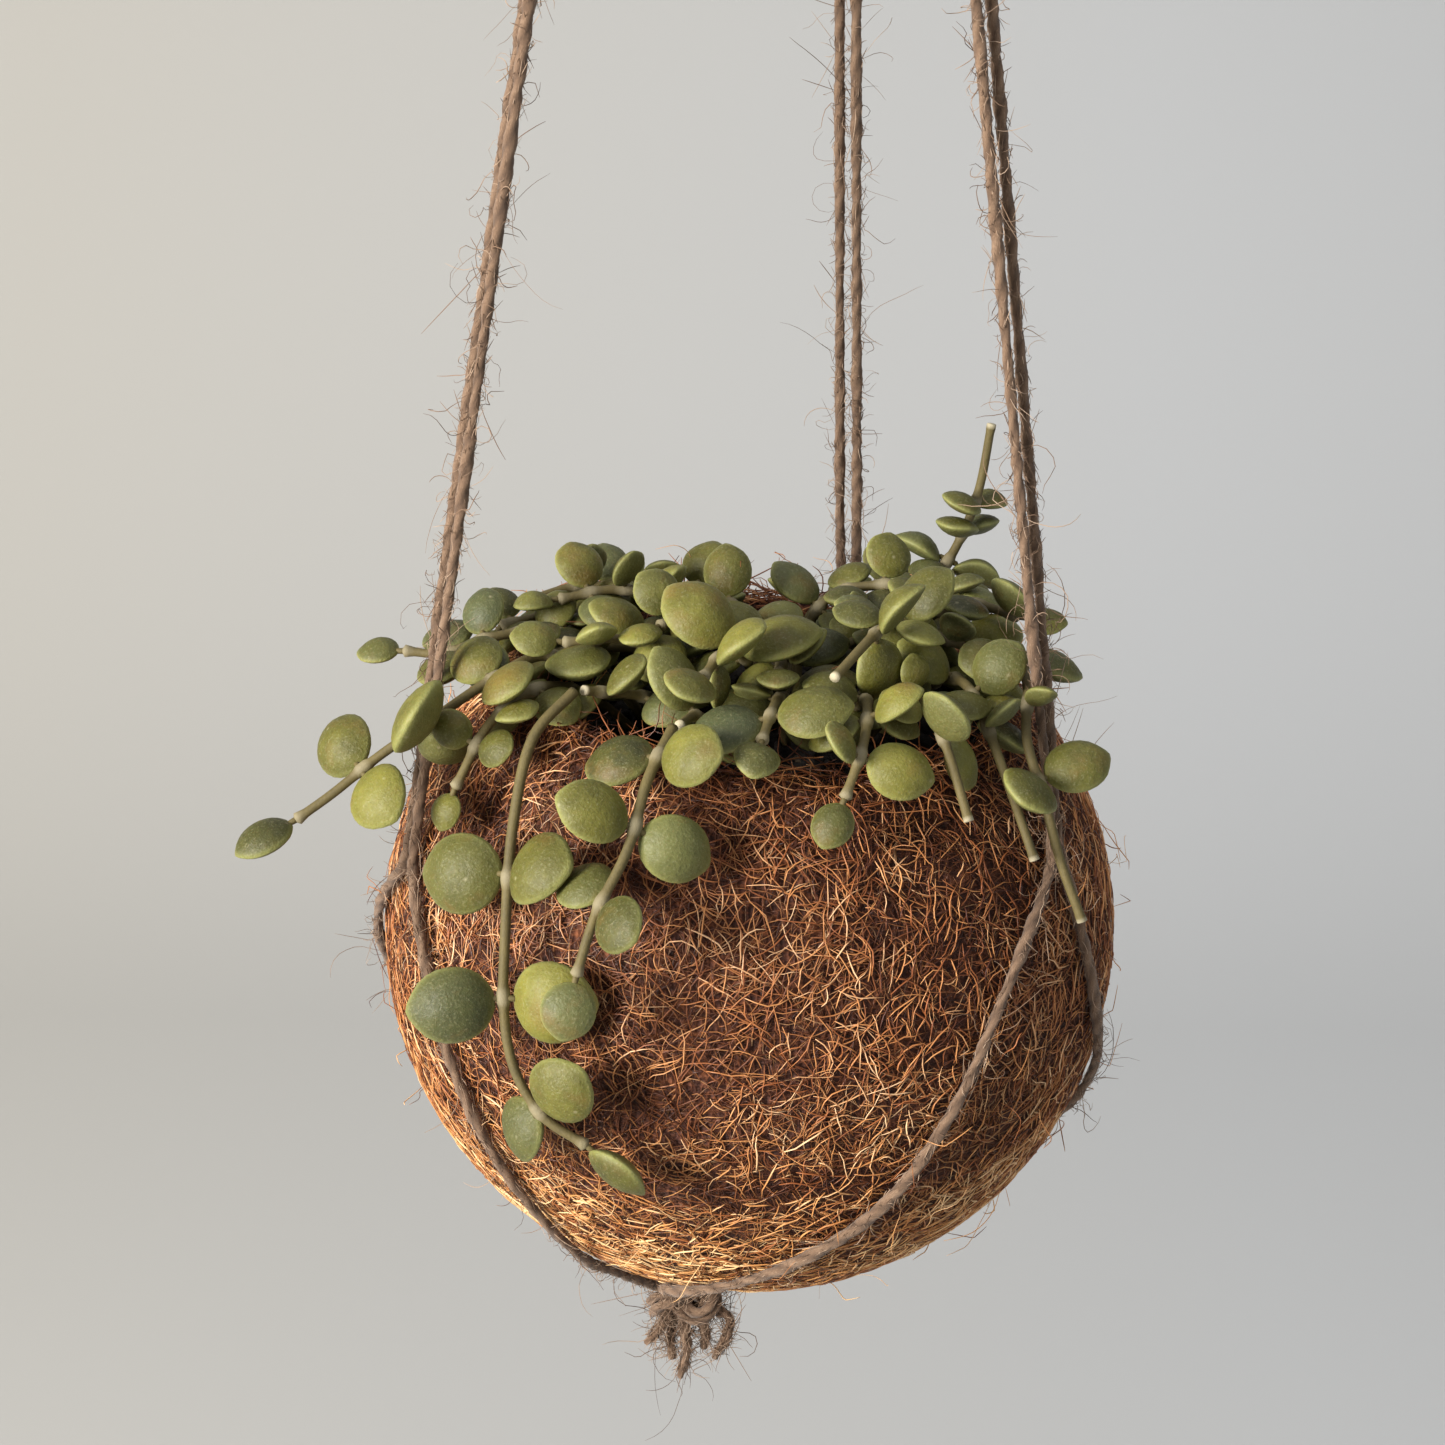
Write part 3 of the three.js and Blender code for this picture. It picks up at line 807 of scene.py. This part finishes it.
def strayCoir(look, finish):
    # longer loose fibres that arch off the ball
    chance = np.random.default_rng(13)
    count = look["strays"]
    normal = unit(chance.normal(0, 1, (count, 3)))
    normal[:, 2] = np.minimum(normal[:, 2], 0.6)
    normal = unit(normal)
    heading = unit(np.cross(normal, unit(chance.normal(0, 1, (count, 3)))) + normal * 0.35)
    lengths = chance.uniform(0.006, 0.020, count)
    paths = wanderingHairs(chance, normal * (ballRadius + 0.0004), heading, lengths, 12,
                           chance.normal(0, 0.28, count))
    reach = np.linalg.norm(paths, axis=2, keepdims=True)
    paths = paths / reach * np.clip(reach, ballRadius + 0.0004, ballRadius + 0.0045)
    return threads("coir_strays", onPot(paths), chance.uniform(0.00006, 0.00013, count),
                   np.clip(chance.normal(0.6, 0.25, count), 0, 1), finish, np.ones(count))


soil = {"height": 0.038, "radius": 0.0515, "crumbs": 700}


def soilMound(look, finish):
    deselectAll()
    bpy.ops.mesh.primitive_circle_add(vertices=72, radius=look["radius"], fill_type="NGON")
    mound = bpy.context.object
    bpy.ops.object.mode_set(mode="EDIT")
    bpy.ops.mesh.select_all(action="SELECT")
    for share in (0.86, 0.80, 0.78, 0.72, 0.6, 0.45):
        bpy.ops.mesh.inset(thickness=0.0001)
        bpy.ops.transform.resize(value=(share, share, 1))
        bpy.ops.transform.translate(value=(0, 0, 0.0007))
    bpy.ops.mesh.poke()
    bpy.ops.object.mode_set(mode="OBJECT")
    depth = mound.modifiers.new("depth", "SOLIDIFY")
    depth.thickness = 0.006
    depth.offset = -1
    finer = mound.modifiers.new("finer", "SUBSURF")
    finer.levels = finer.render_levels = 2
    lumps = bpy.data.textures.new("crumbly", "CLOUDS")
    lumps.noise_scale = 0.004
    lumps.noise_depth = 5
    rough = mound.modifiers.new("rough", "DISPLACE")
    rough.texture = lumps
    rough.strength = 0.0032
    rough.mid_level = 0.5
    for name in ("depth", "finer", "rough"):
        bpy.ops.object.modifier_apply(modifier=name)
    mound.data.transform(Matrix.Translation((0, 0, look["height"])))
    mound.data.materials.append(finish)
    chance = np.random.default_rng(17)
    bpy.ops.mesh.primitive_ico_sphere_add(subdivisions=1, radius=1)
    crumb = bpy.context.object
    shape = np.array([v.co for v in crumb.data.vertices])
    faces = np.array([f.vertices for f in crumb.data.polygons])
    bpy.data.objects.remove(crumb)
    verts, tris = [], []
    for k in range(look["crumbs"]):
        radius = look["radius"] * 0.95 * math.sqrt(chance.random())
        a = chance.uniform(0, 2 * math.pi)
        size = chance.gamma(2.0, 0.0005) + 0.0004
        squash = chance.uniform(0.5, 1.2, 3)
        centre = np.array([radius * math.cos(a), radius * math.sin(a),
                           look["height"] + 0.005 * (1 - radius / look["radius"]) + 0.0006])
        tris.append(faces + 12 * k)
        verts.append(shape * squash * size * chance.uniform(0.75, 1.2, (12, 1)) + centre)
    crumbs = meshObject("crumbs", np.vstack(verts), [], np.vstack(tris), finish)
    whole = joined("soil", [mound, crumbs])
    whole.data.transform(Matrix.Translation(Vector(ballCentre)) @ tiltMatrix())
    return whole


# ---- the plant ----
plant = {
    "stemRadius": 0.00098,
    "thickness": 0.47,    # of half a leaf, as a share of its radius
    "aspect": (0.84, 1.0),
    "closer": 0.78,       # of the stated spacing, for the leaves above the rim
    "smaller": 0.92,      # of the stated leaf, for the same leaves
}

# routes in millimetres from the middle of the ball, as the frame's stems run
vines = {
    "vine_trail_long_root": {
        "route": [(-12, -10, 43), (-18, -22, 55), (-30, -33, 61)],
        "bare": 12, "tail": 4, "spacing": 12, "leaf": 5.6, "turn": 20, "cut": True,
    },
    "vine_trail_long": {
        "route": [(-31.5, -34, 61.2), (-38, -42, 56), (-41, -51, 44), (-42, -60, 27), (-42, -65, 14),
                  (-40, -68, 5), (-35, -71, -2), (-28, -73, -6)],
        "bare": 36, "tail": 5, "spacing": 21, "leaf": 7.2, "turn": -12,
    },
    "vine_trail_front_root": {
        "route": [(-6, -14, 43), (-10, -34, 57), (-13, -46, 60)],
        "bare": 14, "tail": 4, "spacing": 13, "leaf": 5.6, "turn": -25, "cut": True,
    },
    "vine_trail_front": {
        "route": [(-14, -48, 60.5), (-18, -58, 55), (-21, -66, 46), (-26, -72, 37), (-29, -76, 28)],
        "bare": 7, "tail": 2, "spacing": 14, "leaf": 6, "turn": -6,
    },
    "vine_left_low": {
        "route": [(-18, -6, 42), (-28, -14, 57), (-38, -19, 62), (-47, -27, 60), (-57, -31, 54),
                  (-66, -33, 48), (-74, -36, 42), (-80, -38, 38)],
        "bare": 30, "tail": 3, "spacing": 14, "leaf": 6.8, "turn": 15,
    },
    "vine_left_mid": {
        "route": [(-19, 1, 42), (-30, -2, 58), (-40, -4, 61), (-49, -8, 61), (-57, -8, 58), (-64, -7, 58)],
        "bare": 20, "tail": 2, "spacing": 9, "leaf": 5.4, "turn": -20,
    },
    "vine_left_front": {
        "route": [(-20, -12, 43), (-30, -20, 55), (-38, -27, 59), (-46, -33, 55), (-52, -39, 45)],
        "bare": 22, "tail": 3, "spacing": 10, "leaf": 4.6, "turn": 30,
    },
    "vine_left_inner": {
        "route": [(-12, -4, 43), (-16, -12, 60), (-24, -18, 65), (-34, -20, 65)],
        "bare": 20, "tail": 2, "spacing": 10, "leaf": 5.6, "turn": 0,
    },
    "vine_back_left": {
        "route": [(-12, 10, 43), (-15, 15, 54), (-22, 18, 61), (-33, 16, 63), (-43, 10, 62)],
        "bare": 22, "tail": 6, "spacing": 8.5, "leaf": 5, "turn": 30, "cut": True,
    },
    "vine_back_middle": {
        "route": [(0, 12, 43), (0, 16, 54), (-6, 19, 60), (-15, 22, 61), (-27, 22, 61)],
        "bare": 20, "tail": 2, "spacing": 8.5, "leaf": 4.8, "turn": -20,
    },
    "vine_back_right": {
        "route": [(6, 10, 43), (9, 17, 54), (15, 21, 60), (26, 22, 62), (37, 17, 63)],
        "bare": 20, "tail": 2, "spacing": 8.5, "leaf": 5, "turn": 15,
    },
    "vine_top_left": {
        "route": [(-8, 2, 43), (-9, 3, 56), (-15, 4, 64), (-25, 3, 67), (-36, 0, 66)],
        "bare": 20, "tail": 2, "spacing": 8.5, "leaf": 5, "turn": 25,
    },
    "vine_top_middle": {
        "route": [(1, 3, 43), (1, 3, 58), (-3, -3, 66), (-10, -11, 69), (-17, -19, 68)],
        "bare": 22, "tail": 1, "spacing": 9, "leaf": 5.6, "turn": -15,
    },
    "vine_top_right": {
        "route": [(8, 3, 43), (9, 4, 57), (14, 6, 65), (24, 5, 68), (34, 2, 68)],
        "bare": 21, "tail": 1, "spacing": 8.5, "leaf": 5.2, "turn": 20,
    },
    "vine_middle_left": {
        "route": [(-6, -4, 43), (-8, -8, 55), (-15, -10, 59), (-26, -9, 60), (-38, -10, 59)],
        "bare": 20, "tail": 2, "spacing": 8.5, "leaf": 5.2, "turn": 10,
    },
    "vine_middle_right": {
        "route": [(10, -4, 43), (12, -6, 56), (19, -9, 62), (30, -10, 64), (41, -12, 61)],
        "bare": 20, "tail": 2, "spacing": 8.5, "leaf": 5.2, "turn": -15,
    },
    "vine_centre": {
        "route": [(4, -4, 43), (4, -9, 57), (5, -19, 62), (4, -31, 64)],
        "bare": 18, "tail": 2, "spacing": 9, "leaf": 5.4, "turn": 25,
    },
    "vine_left_back": {
        "route": [(-14, 6, 43), (-23, 8, 56), (-35, 6, 61), (-47, 2, 60)],
        "bare": 20, "tail": 2, "spacing": 8.5, "leaf": 4.8, "turn": -10,
    },
    "vine_disc": {
        "route": [(0, -8, 43), (-1, -18, 60), (-5, -30, 68), (-9, -41, 67)],
        "bare": 24, "tail": 1, "spacing": 11, "leaf": 6.9, "turn": 18,
    },
    "vine_front": {
        "route": [(6, -12, 43), (5, -28, 58), (3, -42, 62), (1, -52, 60)],
        "bare": 22, "tail": 2, "spacing": 12, "leaf": 6.2, "turn": -10,
    },
    "vine_stub": {
        "route": [(14, -2, 42), (16, -5, 58), (25, -15, 68), (21, -31, 72), (13, -46, 69)],
        "bare": 24, "tail": 13, "spacing": 9, "leaf": 5.6, "turn": 35, "cut": True,
    },
    "vine_front_right": {
        "route": [(14, -12, 42), (18, -28, 57), (19, -40, 62), (18, -51, 59), (15, -57, 52)],
        "bare": 24, "tail": 1, "spacing": 11, "leaf": 5.6, "turn": 20,
    },
    "vine_right_inner": {
        "route": [(20, -10, 42), (26, -24, 56), (29, -36, 61), (32, -47, 58), (36, -55, 47)],
        "bare": 22, "tail": 12, "spacing": 10, "leaf": 5.4, "turn": -30, "cut": True,
    },
    "vine_right": {
        "route": [(24, -4, 42), (33, -18, 58), (37, -28, 61), (40, -37, 57), (44, -45, 48), (48, -51, 38)],
        "bare": 22, "tail": 17, "spacing": 10, "leaf": 6.2, "turn": -20, "cut": True,
    },
    "vine_cord_side": {
        "route": [(26, 2, 42), (40, -8, 60), (46, -20, 64), (47.5, -30, 62), (47, -38, 55), (50, -43, 46),
                  (53, -47, 36), (57, -50, 26)],
        "bare": 26, "tail": 16, "spacing": 14, "leaf": 5.4, "turn": 25, "cut": True,
    },
    "vine_upright": {
        "route": [(20, 10, 42), (32, 24, 58), (39, 29, 67), (43, 30, 78), (45, 30, 92)],
        "bare": 22, "tail": 12, "spacing": 8, "leaf": 5, "turn": 40, "cut": True,
    },
    "vine_right_top": {
        "route": [(22, 4, 42), (30, 2, 60), (38, -2, 67), (48, -6, 66)],
        "bare": 20, "tail": 1, "spacing": 9, "leaf": 5.2, "turn": -30,
    },
}


def leafPattern(look):
    # one plump leaf of unit radius: +X to its tip, +Z its upper side, its foot at the origin
    deselectAll()
    bpy.ops.mesh.primitive_uv_sphere_add(segments=24, ring_count=10, radius=1)
    leaf = bpy.context.object
    bpy.ops.object.mode_set(mode="EDIT")
    bpy.ops.mesh.select_all(action="SELECT")
    bpy.ops.transform.resize(value=(1, 1, look["thickness"]))
    bpy.ops.transform.translate(value=(1, 0, 0))
    bpy.ops.object.mode_set(mode="OBJECT")
    shape = np.array([v.co for v in leaf.data.vertices])
    faces = [tuple(f.vertices) for f in leaf.data.polygons]
    bpy.data.objects.remove(leaf)
    x, y, z = shape.T
    edge = np.clip(np.hypot(x - 1, y), 0, 1)
    z = z * (0.35 + 0.65 * (1 - edge ** 2) ** 0.32) * np.where(z > 0, 1.0, 0.82)
    tip = np.clip(x - 1.80, 0, None)
    x = x + tip * 0.40
    y = y * (1 - tip * 1.6)
    foot = np.clip(0.3 - x, 0, None)
    y = y * (1 - foot * 0.35)
    return np.stack([x, y, z], axis=1), faces, edge


def facingAt(spot):
    # outward down the ball's side, and mostly up above the rim
    away = spot - ballCentre
    outward = 1 - 0.5 * min(1, max(0, (away[2] - 0.035) / 0.020))
    return unit(away * np.array([outward, outward, 1.0]))


def leafPlaces(vine, line):
    # opposite pairs along the stem: a foot, the way the leaf leaves the stem, its face and size
    even, along = evenSteps(line, 0.0005)
    tangents = unit(np.gradient(even, axis=0))
    length = along[-1]
    crowded = vine["spacing"] < 13
    bare, spacing = vine["bare"] * mm, vine["spacing"] * mm * (plant["closer"] if crowded else 1)
    leafSize = vine["leaf"] * mm * (plant["smaller"] if crowded else 1)
    places = []
    count = max(0, int(math.floor((length - bare - vine["tail"] * mm) / spacing)) + 1)
    for pair in range(count):
        at = min(len(even) - 1, int(round((bare + pair * spacing) / length * (len(even) - 1))))
        spot, tangent = even[at], tangents[at]
        facing = facingAt(spot)
        side = unit(np.cross(tangent, facing))
        lift = vine["turn"] + (-25 if pair % 2 else 25)
        size = 1 + 0.14 * math.sin(2.4 * pair + vine["turn"])
        for sign in (1, -1):
            places.append((spot, tangent, side * sign, facing, lift, leafSize * size))
    if not vine.get("cut"):
        facing = facingAt(even[-1])
        level = unit(np.cross(tangents[-1], facing))
        places.append((even[-1], level, tangents[-1], facing, 0, leafSize * 0.8))
    return places


def lensPoints(centre, out, across, normal, radius):
    # points over a leaf, to test it against its neighbours
    turn = np.arange(12) * math.pi / 6
    flat = np.cos(turn)[:, None] * out + np.sin(turn)[:, None] * across
    bulge = normal * plant["thickness"] * 0.8
    return centre + radius * np.vstack([flat * 0.98, flat * 0.6 + bulge * 0.6, flat * 0.6 - bulge * 0.6,
                                        [bulge, -bulge]])


def insideLens(points, leaf, grow=1.0):
    centre, out, across, normal, radius = leaf
    local = (points - centre) / (radius * grow)
    flat = (local @ out) ** 2 + (local @ across) ** 2
    return bool(((flat + (local @ normal / plant["thickness"]) ** 2) < 1).any())


def leafFits(leaf, taken, strandLines, stemPoints):
    points = lensPoints(*leaf)
    reach = np.linalg.norm(points - ballCentre, axis=1)
    if (reach[points[:, 2] < ballCentre[2] + 0.050] < ballRadius + 0.0006).any():
        return False
    for other in taken:
        if np.linalg.norm(other[0] - leaf[0]) > other[4] + leaf[4]:
            continue
        if insideLens(points, other, 0.94) or insideLens(lensPoints(*other), leaf, 0.94):
            return False
    near = stemPoints[np.linalg.norm(stemPoints - leaf[0], axis=1) < leaf[4] + 0.002]
    if len(near) and insideLens(near, leaf, 1.04):
        return False
    for line in strandLines:
        if insideLens(line, leaf, 1.18):
            return False
    return True


def stemTube(name, line, radius, finish, nodesAt, cutEnd):
    # a round stem, thicker where leaves join it, with a paler cut or a rounded tip
    line, along = evenSteps(line, 0.0009)
    tangents, sides, ups = carriedFrames(line)
    count = 10
    swell = np.zeros(len(line))
    for place in nodesAt:
        swell += np.exp(-((along - place) / 0.0011) ** 2)
    size = radius * (1 + 0.38 * np.clip(swell, 0, 1) - 0.16 * along / along[-1])
    if cutEnd:
        size[-2:] *= 1.12
    ring = np.repeat(size[:, None], count, axis=1)
    tips = [line[0], line[-1] + tangents[-1] * radius * (0.15 if cutEnd else 0.9)]
    thing = tube(name, line, sides, ups, ring, tips, finish)
    pale = np.repeat(np.clip(swell, 0, 1) * 0.35, count)
    if cutEnd:
        pale[-count:] = 1
    pointAttribute(thing, "knots", np.concatenate([pale, [0, 1.0 if cutEnd else 0.2]]))
    return thing


def placedLeaf(place, more, share, lean, roll):
    # a leaf's foot, centre and three directions after it is lifted by more degrees
    spot, tangent, first, facing, lift, radius = place
    angle = math.radians(lift + more)
    out = unit(first * math.cos(angle) + np.cross(tangent, first) * math.sin(angle) + lean)
    normal = unit(facing - out * facing.dot(out))
    normal = unit(normal + roll - out * out.dot(roll))
    radius = radius * share
    foot = spot + out * (plant["stemRadius"] * 0.6 + 0.0007)
    return foot, (foot + out * radius, out, np.cross(normal, out), normal, radius)


def growVine(name, vine, pattern, finishes, taken, strandLines, stems, chance):
    line = stems[name]
    others = np.vstack([stem for other, stem in stems.items() if other != name])
    shape, faces, edge = pattern
    things = []
    footings = []
    verts, allFaces = [], []
    values = {"tint": [], "grey": [], "warm": [], "edge": [], "below": []}
    for place in leafPlaces(vine, line):
        lean, roll = chance.normal(0, 0.12, 3), chance.normal(0, 0.22, 3)
        aspect = chance.uniform(*plant["aspect"])
        bend, cup = chance.normal(-0.05, 0.08), chance.normal(0.04, 0.06)
        tint, grey, warm = chance.normal(0.5, 0.24), chance.normal(-0.05, 0.36), chance.normal(-0.1, 0.3)
        found = None
        for share in (1.0, 0.84, 0.7):
            for more in (0, 20, -20, 38, -38):
                foot, leaf = placedLeaf(place, more, share, lean, roll)
                if leafFits(leaf, taken, strandLines, others):
                    found = leaf
                    break
            if found:
                break
        if not found:
            continue
        taken.append(found)
        _, out, across, normal, radius = found
        local = shape * np.array([1, aspect, 1.0])
        local[:, 2] += bend * (local[:, 0] - 1) ** 2 + cup * local[:, 1] ** 2
        placed = foot + radius * (local[:, :1] * out + local[:, 1:2] * across + local[:, 2:] * normal)
        allFaces.append(len(shape) * len(verts))
        verts.append(placed)
        for key, value in (("tint", tint), ("grey", grey), ("warm", warm)):
            values[key].append(np.full(len(shape), np.clip(value, 0, 1)))
        values["edge"].append(edge)
        values["below"].append((shape[:, 2] < -0.02).astype(float))
        footings.append((place[0], foot + out * radius * 0.10))
    gone = np.concatenate([[0], np.cumsum(np.linalg.norm(np.diff(line, axis=0), axis=1))])
    nodesAt = [gone[int(np.argmin(np.linalg.norm(line - spot, axis=1)))] for spot, _ in footings]
    things.append(stemTube(f"{name}_stem", line, plant["stemRadius"], finishes["stem"],
                           nodesAt, vine.get("cut", False)))
    for k, (spot, foot) in enumerate(footings):
        stalkLine = np.array([spot, spot + (foot - spot) * 0.5, foot])
        things.append(stemTube(f"{name}_stalk_{k}", smoothLine(stalkLine, 4),
                               plant["stemRadius"] * 0.62, finishes["stem"], [], False))
    if verts:
        quads = [[i + start for i in f] for start in allFaces for f in faces if len(f) == 4]
        tris = [[i + start for i in f] for start in allFaces for f in faces if len(f) == 3]
        leaves = meshObject(f"{name}_leaves", np.vstack(verts), quads, tris, finishes["leaf"])
        for key, parts in values.items():
            pointAttribute(leaves, key, np.concatenate(parts))
        things.append(leaves)
    return joined(name.replace("vine_", "stem_") + "_leafy", things), len(footings)


def keepLiftClear(joint, taken, before, stems, name):
    # marks where a stem and its leaves go when they lift, so that nothing grows there
    pivot = np.array(joint["pos_m"])
    own = taken[before:]
    swept = [stems[name]]
    for share in (0.33, 0.66, 1.0):
        angle = math.radians(joint["range_deg"][1] * share)
        turn = np.array(Matrix.Rotation(angle, 3, Vector(joint["axis"])))
        for centre, out, across, normal, radius in own:
            taken.append((pivot + turn @ (centre - pivot), turn @ out, turn @ across,
                          turn @ normal, radius))
        swept.append(pivot + (stems[name] - pivot) @ turn.T)
    stems[name] = np.vstack(swept)


# ---- making everything ----
placeCamera(cameraLook)

twineSkin = twineFinish(twineLook)
hairSkin = hairFinish(hairLook)
hold = "sling_and_pot"
strandLines = []
for number, (node, route) in enumerate(strands.items()):
    rope, line = twistedTwine(node.replace("strand", "twine"), strandLine(route), twine, twineSkin,
                              seed=100 + number)
    hairs = strandHairs(node.replace("strand", "hairs"), line, twine, hairSkin, 200 + number)
    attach(rope, hold)
    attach(hairs, hold)
    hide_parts(node)
    strandLines.append(line)
print("twine strands made")

eye, eyeLine = eyeOfTwines(eyeShape, twineSkin)
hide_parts("hanging_loop")
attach(eye, "eye")
eyeHairs = strandHairs("hairs_eye", eyeLine, twine, hairSkin, 300, 1.6)
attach(eyeHairs, "eye")

topKnot, topLine = tiedKnot("knot_top", topKnotCentre, 0.0066, 0.0042, twineSkin, 20)
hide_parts("top_knot")
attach(topKnot, "gather")
bottomKnot, bottomLine = tiedKnot("knot_bottom", bottomKnotCentre, 0.0064, 0.0026, twineSkin, 65)
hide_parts("bottom_knot")
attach(bottomKnot, hold)
bundle = {**twine, "diameter": knots["bundle"]}
for name, line, body in (("top", topLine, "gather"), ("bottom", bottomLine, hold)):
    knotHairs = strandHairs(f"hairs_knot_{name}", line, bundle, hairSkin, 310, 2.2)
    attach(knotHairs, body)

for number, (node, route) in enumerate(tassels.items()):
    root = (route[0][0] * 0.5, route[0][1] * 0.5, -2.0)
    line = smoothLine([bottomKnotCentre + np.array(p) * mm for p in (root, *route)], 10)
    end, line = twistedTwine(f"end_{node}", line, twine, twineSkin, taper=0.25, seed=400 + number)
    fray = strandHairs(f"fray_{node}", line, twine, hairSkin, 420 + number, 5.0)
    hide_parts(node)
    for piece in (end, fray):
        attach(piece, hold)
print("knots and cut ends made")

shell = potShell(pot, coirShellFinish(coirLook))
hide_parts("coir_pot")
fibreSkin = coirFibreFinish(coirLook)
for piece in [shell, *fibresOnBall(pot, fibreSkin), tornRim(pot, fibreSkin), strayCoir(pot, fibreSkin)]:
    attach(piece, hold)
mix = soilMound(soil, soilFinish())
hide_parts("potting_mix")
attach(mix, hold)
rootBall = bpy.data.objects["root_ball"]
rootBall.data.materials.clear()
rootBall.data.materials.append(rootFinish())
print("pot and mix made")

pattern = leafPattern(plant)
finishes = {"leaf": leafFinish(leafLook), "stem": stemFinish(stemLook)}
taken = []
chance = np.random.default_rng(23)
bodyOf = {"vine_trail_long": "trail_long", "vine_trail_front": "trail_front"}
stems = {name: smoothLine([ballCentre + np.array(p) * mm for p in vine["route"]], 12)
         for name, vine in vines.items()}
jointOf = {joint["child"]: joint for joint in frame["record"]["behaviour"]["joints"]}
leafCount = 0
for name, vine in vines.items():
    before = len(taken)
    stem, grown = growVine(name, vine, pattern, finishes, taken, strandLines, stems, chance)
    if name in bodyOf:
        keepLiftClear(jointOf[bodyOf[name]], taken, before, stems, name)
    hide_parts(name)
    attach(stem, bodyOf.get(name, hold))
    leafCount += grown
print("plant made:", leafCount, "leaves")

# ---- the plain stage ----
room = {
    "floor": -0.80,
    "wall": 1.1,
    "half": 4.0,
    "corner": 0.5,
    "top": 3.0,
    "tone": (0.395, 0.382, 0.350),   # to the left, painted warm light
    "cool": (0.425, 0.432, 0.435),   # to the right, painted cool light
}


def stageFinish(look):
    finish, shader, where = newFinish("plain_paper", {"Roughness": 0.95})
    across = where.make("ShaderNodeSeparateXYZ", None, {0: where}, "X")
    side = (across * 1.6 + 0.6 + where.noise(0.8, 1) * 0.1).clamp()
    # the backdrop is painted warm to the left and cool to the right, with a slightly wandering blend:
    # painted light across the wall
    plug(shader, Base_Color=side.blend(rgb(look["tone"]), rgb(look["cool"])))
    return finish


def backdrop(look):
    # floor and wall in one sheet with a round corner
    turn = np.linspace(0, math.pi / 2, 14)
    profile = [(-look["half"], look["floor"])]
    profile += [(look["wall"] - look["corner"] + look["corner"] * math.sin(t),
                 look["floor"] + look["corner"] * (1 - math.cos(t))) for t in turn]
    profile += [(look["wall"], look["top"])]
    verts = [(x, y, z) for y, z in profile for x in (-look["half"], look["half"])]
    quads = [(2 * k, 2 * k + 1, 2 * k + 3, 2 * k + 2) for k in range(len(profile) - 1)]
    sheet = meshObject("backdrop", verts, quads, (), stageFinish(look))


backdrop(room)

lamps = {
    "left_window": {"at": (-1.30, -1.05, 0.10), "size": 0.8, "power": 70, "colour": (1.0, 0.97, 0.93)},
    "right_fill": {"at": (1.5, -1.0, 0.1), "size": 1.8, "power": 3.5, "colour": (0.93, 0.96, 1.0)},
    "wall_wash": {"at": (0.0, 0.1, 1.9), "size": 2.2, "power": 17, "colour": (1, 1, 1)},
}


def hangLamps(looks):
    for name, look in looks.items():
        bpy.ops.object.light_add(type="AREA", location=look["at"])
        lamp = bpy.context.object
        lamp.name = name
        lamp.data.shape = "DISK"
        lamp.data.size = look["size"]
        lamp.data.energy = look["power"]
        lamp.data.color = look["colour"]
        aim = Vector(ballCentre) - Vector(look["at"])
        if name == "wall_wash":
            aim = Vector((0, 1.1, -0.6)) - Vector(look["at"])
        lamp.rotation_euler = aim.to_track_quat("-Z", "Y").to_euler()


hangLamps(lamps)
bpy.context.scene.view_settings.view_transform = "Standard"

air = {"colour": (0.93, 0.95, 1.0), "strength": 0.34}


def fillAir(look):
    world = bpy.data.worlds.new("soft_air")
    bpy.context.scene.world = world
    world.use_nodes = True
    sky = world.node_tree.nodes["Background"]
    sky.inputs["Color"].default_value = rgb(look["colour"])
    sky.inputs["Strength"].default_value = look["strength"]


fillAir(air)
print("stage made")
